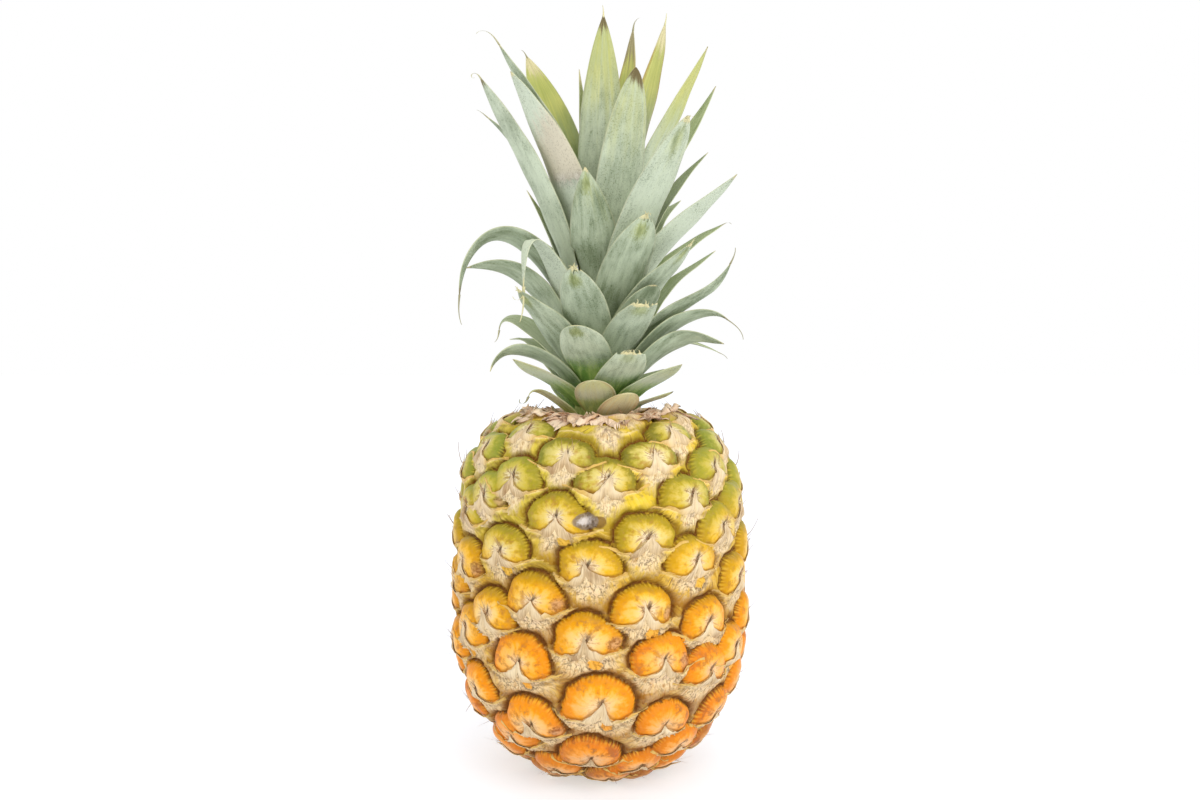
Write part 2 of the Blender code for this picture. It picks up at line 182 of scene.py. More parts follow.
class Graph:
    """Lays the nodes of one material."""

    def __init__(self, name: str, **sockets: float) -> None:
        """Starts a Principled material whose constant sockets are given by name, with _ for spaces.

        Args:
            name: name of the material.
            sockets: the values by socket.
        """
        self.material = bpy.data.materials.new(name)
        self.material.use_nodes = True
        self.tree = self.material.node_tree
        self.shader = self.tree.nodes["Principled BSDF"]
        for key, value in sockets.items():
            self.shader.inputs[key.replace("_", " ")].default_value = value

    def node(self, kind: str, **settings: object) -> bpy.types.Node:
        """Adds a node with its settings.

        Args:
            kind: its type.
            settings: properties set on it.

        Returns:
            the node.
        """
        made = self.tree.nodes.new(kind)
        for key, value in settings.items():
            setattr(made, key, value)
        return made

    def feed(self, socket: bpy.types.NodeSocket, value: object) -> None:
        """Links a wire to a socket, or sets the socket's own value.

        Args:
            socket: input of a node.
            value: wire, number or colour.
        """
        if isinstance(value, Wire):
            self.tree.links.new(value.socket, socket)
        else:
            socket.default_value = value

    def math(self, operation: str, first: Wire | float, second: Wire | float = 0.0) -> Wire:
        """A maths node.

        Args:
            operation: name of the operation.
            first: first value.
            second: second value, where one is used.

        Returns:
            the result.
        """
        made = self.node("ShaderNodeMath", operation=operation)
        self.feed(made.inputs[0], first)
        self.feed(made.inputs[1], second)
        return Wire(self, made.outputs[0])

    def sine(self, value: Wire) -> Wire:
        """Sine of radians."""
        return self.math("SINE", value)

    def length(self, x: Wire, y: Wire) -> Wire:
        """Length of a flat vector."""
        return self.math("SQRT", x * x + y * y)

    def vector(self, x: Wire | float, y: Wire | float, z: Wire | float = 0.0) -> Wire:
        """Vector from three numbers.

        Args:
            x: first number.
            y: second number.
            z: third number.

        Returns:
            the vector.
        """
        made = self.node("ShaderNodeCombineXYZ")
        for socket, value in zip(made.inputs, (x, y, z)):
            self.feed(socket, value)
        return Wire(self, made.outputs[0])

    def split(self, vector: Wire) -> tuple[Wire, Wire, Wire]:
        """The three numbers of a vector.

        Args:
            vector: any vector.

        Returns:
            its numbers.
        """
        made = self.node("ShaderNodeSeparateXYZ")
        self.feed(made.inputs[0], vector)
        return tuple(Wire(self, out) for out in made.outputs)

    def place(self) -> Wire:
        """Object coordinates in millimetres.

        Returns:
            the place.
        """
        source = self.node("ShaderNodeTexCoord")
        made = self.node("ShaderNodeVectorMath", operation="SCALE")
        self.tree.links.new(source.outputs["Object"], made.inputs[0])
        made.inputs["Scale"].default_value = 1.0 / MM
        return Wire(self, made.outputs[0])

    def chart(self, name: str) -> tuple[Wire, Wire]:
        """The two numbers of a UV map, in millimetres.

        Args:
            name: name of the map.

        Returns:
            u and v.
        """
        made = self.node("ShaderNodeUVMap", uv_map=name)
        u, v, _ = self.split(Wire(self, made.outputs[0]))
        return u * CHART_UNIT, v * CHART_UNIT

    def mark(self, name: str) -> Wire:
        """A number painted on the mesh."""
        made = self.node("ShaderNodeAttribute", attribute_name=name)
        return Wire(self, made.outputs["Fac"])

    def noise(self, where: Wire, scale: float, detail: float = 2.0, rough: float = 0.5) -> Wire:
        """Noise of 0 to 1.

        Args:
            where: the place it is read at.
            scale: bumps to a unit of length.
            detail: number of finer levels.
            rough: strength of the finer levels.

        Returns:
            the noise.
        """
        made = self.node("ShaderNodeTexNoise")
        self.feed(made.inputs["Vector"], where)
        made.inputs["Scale"].default_value = scale
        made.inputs["Detail"].default_value = detail
        made.inputs["Roughness"].default_value = rough
        return Wire(self, made.outputs["Fac"])

    def mix(self, share: Wire | float, first: Wire | Colour, second: Wire | Colour, mode: str = "MIX") -> Wire:
        """Mixes two colours.

        Args:
            share: share of the second colour.
            first: first colour.
            second: second colour.
            mode: way of mixing.

        Returns:
            the mixed colour.
        """
        made = self.node("ShaderNodeMix", data_type="RGBA", blend_type=mode, clamp_factor=True)
        self.feed(made.inputs["Factor"], share)
        colours = [s for s in made.inputs if s.type == "RGBA"]
        self.feed(colours[0], first)
        self.feed(colours[1], second)
        return Wire(self, next(s for s in made.outputs if s.type == "RGBA"))

    def ramp(self, value: Wire, stops: Ramp) -> Wire:
        """Colour ramp through the stops.

        Args:
            value: position on the ramp.
            stops: positions with their colours.

        Returns:
            the colour.
        """
        made = self.node("ShaderNodeValToRGB")
        made.color_ramp.interpolation = "EASE"
        keys = made.color_ramp.elements
        keys.remove(keys[-1])
        keys[0].position, keys[0].color = stops[0]
        for at, colour in stops[1:]:
            keys.new(at).color = colour
        self.feed(made.inputs[0], value)
        return Wire(self, made.outputs[0])

    def close(self, colour: Wire, roughness: Wire, height: Wire, relief: float = 1.0) -> bpy.types.Material:
        """Feeds the shader.

        Args:
            colour: base colour.
            roughness: roughness.
            height: fine relief in millimetres.
            relief: strength of the fine relief.

        Returns:
            the finished material.
        """
        bump = self.node("ShaderNodeBump")
        bump.inputs["Strength"].default_value = relief
        bump.inputs["Distance"].default_value = MM
        self.feed(bump.inputs["Height"], height)
        self.feed(self.shader.inputs["Base Color"], colour)
        self.feed(self.shader.inputs["Roughness"], roughness)
        self.tree.links.new(bump.outputs["Normal"], self.shader.inputs["Normal"])
        return self.material


@dataclass(frozen=True)
class RindFinish:
    """Skin of the fruit: ribbed saturated rims that fade to cream, fibrous bracts, and dark furrows, partly their
    own brown and partly painted shade.

    The ramps run from the overripe base (0) to the greenish shoulder (1).
    """

    rim_ramp: Ramp = (
        (0.0, tone(166, 104, 52)), (0.14, tone(220, 126, 24)), (0.34, tone(238, 144, 10)),
        (0.50, tone(222, 148, 6)), (0.62, tone(200, 150, 12)), (0.76, tone(168, 142, 24)),
        (0.92, tone(126, 118, 32)),
    )  # fmt: skip
    flesh_ramp: Ramp = (
        (0.0, tone(212, 146, 70)), (0.14, tone(244, 154, 28)), (0.40, tone(250, 172, 14)),
        (0.60, tone(238, 180, 16)), (0.80, tone(208, 172, 28)), (0.95, tone(186, 168, 50)),
    )  # fmt: skip
    cream_ramp: Ramp = ((0.0, tone(236, 190, 142)), (0.45, tone(252, 216, 152)), (0.8, tone(236, 218, 144)))
    flank_ramp: Ramp = (
        (0.0, tone(190, 136, 76)), (0.30, tone(208, 150, 60)), (0.55, tone(224, 174, 54)),
        (0.85, tone(226, 200, 60)),
    )  # fmt: skip
    # Deep browns: the fibres' own dark lines, and the colour of painted shade in the hollows round the domes and
    # towards the V below them.
    deep_ramp: Ramp = ((0.0, tone(120, 66, 20)), (0.5, tone(146, 94, 18)), (0.85, tone(168, 142, 28)))
    # Dark brown of the furrows: partly the groove's own brown, partly painted shade; also the painted shade between
    # the rim's ribs.
    furrow: Colour = tone(112, 60, 10)
    olive: Colour = tone(130, 118, 30)
    verdure: Colour = tone(142, 160, 56)
    ember: Colour = tone(214, 88, 24)
    tan: Colour = tone(176, 118, 52)
    stain: Colour = tone(138, 80, 48)
    bruise: Colour = tone(104, 62, 52)
    scab: Colour = tone(206, 160, 120)
    # Painted shade inside the fissure at each bract tip.
    slit: Colour = tone(66, 42, 18)
    tip_brown: Colour = tone(168, 126, 84)
    tip_white: Colour = tone(252, 236, 212)
    # Painted highlight on the tops of the rim's ribs.
    rib_highlight: Colour = tone(255, 222, 84)
    flank_gold: Colour = tone(248, 206, 44)
    flank_green: Colour = tone(190, 184, 72)
    flank_strand: Colour = tone(242, 208, 104)
    # Dark crease lines on the flanks: partly brown fibre, partly painted shade.
    crease: Colour = tone(122, 76, 30)
    paper: Colour = tone(250, 226, 184)
    paper_pink: Colour = tone(214, 184, 172)
    husk: Colour = tone(184, 136, 82)
    strand: Colour = tone(112, 76, 44)
    # Painted shade in the wrinkles of the dry paper.
    wrinkle: Colour = tone(116, 80, 46)
    tear: Colour = tone(112, 78, 40)
    # Painted shade below the bract's lip.
    under_lip_shade: Colour = tone(120, 78, 40)
    lip: Colour = tone(250, 222, 160)
    lip_shadow: Colour = tone(122, 70, 20)
    base: Colour = tone(150, 110, 62)
    pale_fleck: Colour = tone(255, 240, 190)
    shoulder: Colour = tone(186, 150, 70)
    warmth: Colour = tone(255, 236, 165)
    blister_white: Colour = tone(214, 204, 198)
    blister_grey: Colour = tone(140, 120, 100)
    blister_stain: Colour = tone(126, 90, 44)
    blister_place: tuple[float, float] = (-5.2, 110.8)
    blister_size: tuple[float, float] = (4.9, 3.2)
    stain_place: tuple[float, float] = (-0.2, 110.4)
    stain_size: tuple[float, float] = (3.0, 2.4)
    window_place: tuple[float, float] = (3.0, -8.0)
    window_size: tuple[float, float] = (2.8, 2.6)
    scar_place: tuple[float, float] = (9.5, -1.0)
    scar_size: float = 3.2
    rim_ribs: float = 38.0
    gloss: float = 0.11

    def material(self) -> bpy.types.Material:
        """Builds the material."""
        return RindPattern(self).material()


class RindPattern:
    """Lays the rind's pattern. What its parts share is kept on it: places in millimetres, marks and noise."""

    def __init__(self, finish: RindFinish) -> None:
        """Reads the places and the marks, and makes the shared noise.

        Args:
            finish: the rind's colours and sizes.
        """
        self.finish = finish
        self.g = g = Graph("rind", Specular_IOR_Level=finish.gloss)
        self.u, self.v = u, v = g.chart("eye")
        marks = (g.mark(name) for name in ("near", "rim", "seed", "scar", "open"))
        self.near, self.rim, self.seed, self.scar, self.torn = marks
        place = g.place()
        self.x, self.y, self.z = g.split(place)
        self.blob = g.noise(place, 0.07, 2.0)
        self.fleck = g.noise(place, 0.8, 3.0, 0.6)
        self.mottle = g.noise(place, 0.32, 3.0, 0.6)
        reach = g.length(u, v - 1.0).most(0.4)
        spokes = g.vector(u / reach * 4.5 + self.seed * 40.0, (v - 1.0) / reach * 4.5, reach * 0.12)
        self.rays = g.noise(spokes, 1.0, 3.0, 0.6)
        self.ripe = (self.z - self.x * 0.04) / 150.0 + (self.blob - 0.5) * 0.22 + (self.seed - 0.5) * 0.10
        self.flesh = g.ramp(self.ripe, finish.flesh_ramp)
        self.deep = g.ramp(self.ripe, finish.deep_ramp)
        self.fan = u / (8.0 - v)
        self.strand = self.fibres(30.0, 0.0, 0.1, 60.0, 3.0, 0.65)
        self.lines = self.fibres(9.0, 31.0, 0.05, 17.0, 3.0, 0.6)
        self.streak = self.fibres(4.5, 11.0, 0.22, 5.0, 2.0, 0.5)
        self.creases = self.fibres(14.0, 3.0, 0.08, 29.0, 3.0, 0.7)
        self.hair = self.fibres(60.0, 9.0, 0.35, 23.0, 2.0, 0.6)
        self.folds = self.fibres(8.0, 13.0, 0.42, 41.0, 4.0, 0.6)

    def fibres(self, across: float, shift: float, along: float, change: float, detail: float, rough: float) -> Wire:
        """Noise drawn out along strands that fan from an eye's tip.

        Args:
            across: how close the strands lie.
            shift: how far an eye's seed shifts them.
            along: how fast they change along their length.
            change: how far an eye's seed changes them.
            detail: levels of detail.
            rough: strength of the finer levels.

        Returns:
            noise of 0 to 1.
        """
        where = self.g.vector(self.fan * across + self.seed * shift, self.v * along, self.seed * change)
        return self.g.noise(where, 1.0, detail, rough)

    def free_edge(self) -> Wire:
        """Height of a bract's free edge, as in Eyes.free_edge.

        Returns:
            height in millimetres.
        """
        side = abs(self.u)
        peak = self.g.math("EXPONENT", side / -1.9) * 4.3 - 3.8
        return peak + side.rise(2, 6) * -0.9 + side.rise(7, 17) * 2.6

    def lay_dome(self) -> Wire:
        """Colours the dome: rim, flesh, cream middle, brown tip and green upper side.

        Returns:
            the colour.
        """
        g, finish, u, v, x, z = self.g, self.finish, self.u, self.v, self.x, self.z
        near, seed, blob, fleck, mottle, rays = self.near, self.seed, self.blob, self.fleck, self.mottle, self.rays
        rind = g.ramp(self.ripe, finish.rim_ramp)
        outer = (near + (mottle - 0.5) * 0.7 + (rays - 0.5) * 0.4).rise(0.50, 0.85)
        dome = g.mix(outer, self.flesh, rind)
        pale = (g.length(u / 8.2, (v - 0.5) / 5.6) + (rays - 0.5) * 1.1 + (mottle - 0.5) * 1.2).fall(0.30, 1.15)
        dome = g.mix(pale * (seed * 0.45 + 0.45), dome, g.ramp(self.ripe, finish.cream_ramp))
        dome = g.mix((rays * 0.6 + mottle * 0.4).fall(0.34, 0.50) * 0.3, dome, rind)
        core = (g.length(u / 4.6, (v - 0.5) / 3.8) + (rays - 0.5) * 2.2 + (fleck - 0.5) * 0.8).fall(0.35, 1.0)
        crumple = g.mix((rays * 0.6 + fleck * 0.4).rise(0.40, 0.54), finish.tip_brown, finish.tip_white)
        dome = g.mix(core * (z.rise(20.0, 110.0) * 0.5 + 0.28), dome, crumple)
        tan = (mottle * 0.5 + fleck * 0.3 + blob * 0.3).rise(0.56, 0.68) * near.fall(0.7, 0.95)
        dome = g.mix(tan * 0.5, dome, finish.tan)
        blush = (blob - seed * 0.25).rise(0.42, 0.60) * z.fall(60, 110) * near.rise(0.45, 0.8)
        dome = g.mix(blush * 0.3, dome, finish.ember)
        stain = (mottle + blob * 0.6 - seed * 0.2).rise(0.74, 0.92) * z.fall(20, 120)
        dome = g.mix(stain * 0.5, dome, finish.stain)
        dome = g.mix(v.rise(6.0, 10.0) * z.rise(30, 110) * 0.6, dome, finish.olive)
        verdure = z.rise(92.0, 130.0) * abs(x - 4.0).rise(14.0, 42.0) * (1.0 - pale * 0.6)
        return g.mix(verdure * 0.5, dome, finish.verdure)

    def mark_dome(self, dome: Wire) -> tuple[Wire, Wire, Wire]:
        """Adds the ribs of the rim with painted highlights on their tops and painted shade between them, the
        bruised corner, and the slit with painted shade inside it.

        Args:
            dome: colour of the plain dome.

        Returns:
            the colour, the ribs' height, and how bruised it is.
        """
        g, finish, u, v, near = self.g, self.finish, self.u, self.v, self.near
        angle = g.math("ARCTAN2", v * 1.15 - 1.0, u)
        rib = g.sine(angle * finish.rim_ribs + (self.rays - 0.5) * 14.0) * 0.5 + 0.5
        ribbed = near.rise(0.84, 0.99) * (self.blob + self.mottle * 1.5).rise(0.85, 1.40)
        # Painted shade between the rim's ribs and a painted highlight on their tops; the ribs' bump is real relief.
        dome = g.mix(ribbed * rib.rise(0.45, 1.0) * 0.38, dome, finish.furrow)
        dome = g.mix(ribbed * rib.fall(0.05, 0.60) * 0.42, dome, finish.rib_highlight)
        at = finish.scar_place
        corner = g.length(u - at[0], v - at[1]) / finish.scar_size + (self.fleck - 0.5) * 1.4
        hurt = corner.fall(0.35, 1.15) * self.scar
        scab = g.mix((self.rays * 0.5 + self.fleck * 0.5).rise(0.40, 0.60), finish.bruise, finish.scab)
        dome = g.mix(hurt * 0.7, dome, scab)
        # The slit: a line of painted shade in the fissure at the bract tip.
        slit = (abs(u - v * 0.3) / 0.7 + (self.fleck - 0.5)).fall(0.4, 1.1) * v.band(-1.0, 1.5, 4.5)
        return g.mix(slit * 0.85, dome, finish.slit), rib * ribbed, hurt

    def lay_flank(self) -> Wire:
        """Colours the fresh sides of a bract, darker towards the V below them, partly with painted shade.

        Returns:
            the colour.
        """
        g, finish, ripe, x, lines = self.g, self.finish, self.ripe, self.x, self.lines
        flank = g.ramp(ripe, finish.flank_ramp)
        flank = g.mix(ripe.rise(0.55, 0.75) * x.rise(-10.0, 25.0) * 0.7, flank, finish.flank_gold)
        flank = g.mix(ripe.rise(0.50, 0.80) * x.fall(-40.0, 0.0) * 0.5, flank, finish.flank_green)
        flank = g.mix((lines + self.strand * 0.25).rise(0.50, 0.85) * 0.6, flank, finish.flank_strand)
        # Darker brown towards the V between the lower domes: partly the bract's own brown, partly painted shade.
        low = (self.v + (lines - 0.5) * 2.0 + (self.mottle - 0.5) * 6.0).fall(-17.0, -8.0)
        flank = g.mix(low * 0.75, flank, self.deep)
        flank = g.mix(lines.fall(0.28, 0.42) * 0.2, flank, self.deep)
        flank = g.mix(self.streak.fall(0.34, 0.50) * 0.45, flank, self.deep)
        # Dark crease lines: partly brown fibre, partly painted shade in the creases.
        return g.mix(self.creases.fall(0.30, 0.40) * 0.7, flank, finish.crease)

    def lay_bract(self, drop: Wire) -> tuple[Wire, Wire]:
        """Colours a bract: fresh flanks, dry papery middle, wrinkles, the torn window and the lip, with painted
        shade in the wrinkles and under the lip.

        Args:
            drop: height over the bract's free edge, negative below it.

        Returns:
            the colour, and the depth of the wrinkles.
        """
        g, finish, u, v, z = self.g, self.finish, self.u, self.v, self.z
        fleck, mottle, strand, hair = self.fleck, self.mottle, self.strand, self.hair
        paper = g.mix((strand * 0.35 + hair * 0.25 + mottle * 0.4).rise(0.35, 0.52), finish.husk, finish.paper)
        paper = g.mix(mottle.rise(0.48, 0.62) * 0.4, paper, finish.paper_pink)
        wrinkle = abs(self.folds - 0.5).fall(0.004, 0.030) * (mottle + fleck).rise(0.75, 1.1)
        wrinkle = wrinkle * (1.0 - z.rise(85, 125) * 0.5)
        width = z.fall(40, 120) * 8.0 + 6.4
        spread = g.length(u / width, (v + 5.0) / 8.6) + (strand - 0.5) * 1.0 + (mottle - 0.5) * 1.4
        dry = spread.fall(0.55, 1.30).most((self.streak - z / 500.0).rise(0.38, 0.54) * 0.3)
        bract = g.mix(dry * 0.9, self.lay_flank(), paper)
        dark = (strand * 0.6 + hair * 0.4).fall(0.28, 0.42) * dry.rise(0.1, 0.6)
        bract = g.mix(dark * 0.6, bract, finish.strand)
        # Painted shade in the paper's wrinkles, beside their bump.
        bract = g.mix(wrinkle * (dry * 0.42 + 0.18), bract, finish.wrinkle)
        at, size = finish.window_place, finish.window_size
        window = g.length((u - at[0]) / size[0], (v - at[1]) / size[1])
        window = window + (fleck - 0.5) * 0.9 + (strand - 0.5) * 0.8
        bract = g.mix(window.band(0.7, 1.0, 1.35) * v.fall(-9.0, -6.5) * self.torn * 0.7, bract, finish.tear)
        bract = g.mix(window.fall(0.70, 0.95) * self.torn * 0.85, bract, self.flesh)
        # Painted shade on the bract just below its raised lip.
        under = drop.band(-4.0, -2.2, -1.2) * (fleck + self.blob).rise(0.8, 1.1)
        bract = g.mix(under * 0.45, bract, finish.under_lip_shade)
        return g.mix(drop.band(-1.6, -0.5, 0.2) * 0.8, bract, finish.lip), wrinkle * dry

    def lay_furrows(self, skin: Wire, drop: Wire) -> tuple[Wire, Wire]:
        """Paints shade into the gaps between the domes, the hollows beside them and the strip above the bracts'
        lips, and tints the ends of the fruit.

        Args:
            skin: colour so far.
            drop: height over the bract's free edge.

        Returns:
            the colour, and the furrows' strength.
        """
        g, finish, near, z = self.g, self.finish, self.near, self.z
        shade = drop.band(-0.1, 0.3, 1.5) * abs(self.u).fall(9, 14) * near.fall(0.95, 1.0)
        skin = g.mix(shade * 0.55, skin, finish.lip_shadow)
        # Painted shade in the hollow just outside each dome's upper rim, in the deep brown ramp.
        hollow = (near + (self.lines - 0.5) * 0.3 + (self.blob - 0.5) * 0.2).fall(1.0, 1.40) * near.rise(0.96, 1.02)
        skin = g.mix(hollow * self.rim * 0.8, skin, self.deep)
        # Painted shade in the furrow round each dome, partly the groove's own brown, darker towards each dome's
        # right side as the side away from the light.
        uneven = ((self.blob + self.fleck) * 0.5 + self.u * 0.012).rise(0.34, 0.56) * 0.6 + 0.34
        furrow = (near + (self.fleck - 0.5) * 0.10).band(0.93, 1.02, 1.15) * self.rim * uneven
        skin = g.mix(furrow, skin, finish.furrow)
        skin = g.mix(z.fall(0.2, 6.0) * 0.5, skin, finish.base)
        # Faint pale flecks over the whole skin.
        skin = g.mix(self.fleck.rise(0.35, 0.75) * 0.04, skin, finish.pale_fleck)
        skin = g.mix(z.rise(144.0, 148.0) * 0.6, skin, finish.shoulder)
        return g.mix(z.fall(60.0, 125.0) * 0.16, skin, finish.warmth, "MULTIPLY"), furrow

    def lay_blister(self, skin: Wire) -> tuple[Wire, Wire]:
        """Adds the one grey blister on the front and the stain beside it.

        Args:
            skin: colour so far.

        Returns:
            the colour, and how swollen it is.
        """
        g, finish = self.g, self.finish
        front = self.y.fall(-46.0, -40.0)
        blister, beside = (
            g.length((self.x - at[0]) / size[0], (self.z - at[1]) / size[1]) + (self.mottle - 0.5) * 0.6
            for at, size in ((finish.blister_place, finish.blister_size), (finish.stain_place, finish.stain_size))
        )
        skin = g.mix(beside.fall(0.8, 1.05) * front * 0.8, skin, finish.blister_stain)
        inside = (blister + (self.fleck - 0.5) * 1.5).rise(0.1, 0.9)
        inside = g.mix(inside, finish.blister_white, finish.blister_grey)
        skin = g.mix(blister.fall(0.85, 1.05) * front * 0.9, skin, inside)
        return skin, (blister.fall(0.3, 1.1) + beside.fall(0.3, 1.1) * 0.6) * front

    def material(self) -> bpy.types.Material:
        """Joins domes, bracts and furrows.

        Returns:
            the finished material.
        """
        fleck = self.fleck
        dome, ribs, hurt = self.mark_dome(self.lay_dome())
        drop = self.v - self.free_edge() + (fleck - 0.5) * 0.5
        bract, wrinkles = self.lay_bract(drop)
        covered = drop.fall(-0.2, 0.1).most(self.near.rise(0.99, 1.02))
        skin, furrow = self.lay_furrows(self.g.mix(covered, dome, bract), drop)
        skin, swollen = self.lay_blister(skin)
        rough = 0.36 + covered * 0.28 - hurt * 0.2 + (fleck - 0.5) * 0.15 - swollen * 0.3
        height = ribs * (1.0 - covered) * 0.20 + (self.strand * 0.3 + self.hair * 0.2) * covered + fleck * 0.12
        height = height - wrinkles * covered * 0.4
        return self.g.close(skin, rough, height + self.rays * 0.12 - furrow * 0.7 + swollen * 1.5)


@dataclass(frozen=True)
class HuskFinish:
    """Dry papery bract: straw to pinkish tan with fine strands."""

    name: str
    pale: Colour
    deep: Colour
    warm: Colour
    strand: Colour = tone(120, 88, 56)
    thin_edge: Colour = tone(248, 230, 196)
    burn: Colour = tone(146, 98, 60)

    def material(self) -> bpy.types.Material:
        """Builds the material.

        Returns:
            the finished material.
        """
        g = Graph(self.name, Specular_IOR_Level=0.3, Sheen_Weight=0.15)
        u, v = g.chart("eye")
        seed, thin = g.mark("seed"), g.mark("thin")
        place = g.place()
        blob = g.noise(place, 0.12, 2.0)
        fleck = g.noise(place, 1.1, 3.0, 0.6)
        strand = g.noise(g.vector(u / (8.0 - v) * 26.0, v * 0.1, seed * 60.0), 1.0, 3.0, 0.65)
        colour = g.mix((strand * 0.7 + blob * 0.5).rise(0.35, 0.8), self.deep, self.pale)
        colour = g.mix((abs(u) / 14.0 + (blob - 0.5) * 0.8).rise(0.20, 0.70) * 0.9, colour, self.warm)
        colour = g.mix(strand.fall(0.22, 0.36) * 0.6, colour, self.strand)
        colour = g.mix(thin * (blob * 1.4 - 0.3) * abs(u).fall(3.0, 9.0), colour, self.thin_edge)
        burn = (g.mark("burn") + (strand - 0.5) * 0.8 + (fleck - 0.5) * 0.4).rise(0.35, 1.1)
        colour = g.mix(burn * 0.75, colour, self.burn)
        return g.close(colour, 0.6 + fleck * 0.25, strand * 0.25 + fleck * 0.1)


@dataclass(frozen=True)
class LeafFinish:
    """Waxy grey-green leaf with long fine strands, fresh at the foot and dry at the tip."""

    wax: Colour = tone(196, 206, 178)
    body: Colour = tone(118, 131, 98)
    bloom: Colour = tone(222, 228, 208)
    scurf: Colour = tone(220, 226, 210)
    pit: Colour = tone(82, 98, 62)
    dot: Colour = tone(76, 96, 54)
    inside: Colour = tone(122, 142, 62)
    inside_strand: Colour = tone(178, 190, 128)
    olive: Colour = tone(116, 126, 56)
    olive_frost: Colour = tone(172, 180, 112)
    foot: Colour = tone(112, 156, 48)
    foot_frost: Colour = tone(172, 196, 92)
    yellow: Colour = tone(210, 206, 116)
    yellow_cloud: Colour = tone(164, 170, 78)
    ash: Colour = tone(214, 200, 176)
    ash_fleck: Colour = tone(150, 128, 100)
    shadow: Colour = tone(70, 92, 50)
    tan: Colour = tone(246, 222, 144)
    tan_strand: Colour = tone(255, 246, 204)
    rust: Colour = tone(170, 112, 52)
    straw: Colour = tone(228, 218, 168)
    brown: Colour = tone(112, 98, 64)
    crumple: Colour = tone(238, 230, 214)
    # Pale margin of the leaves: partly their own pale edge, partly a painted highlight along it.
    edge: Colour = tone(216, 214, 172)
    gloss: float = 0.25

    def material(self) -> bpy.types.Material:
        """Builds the material."""
        return LeafPattern(self).material()


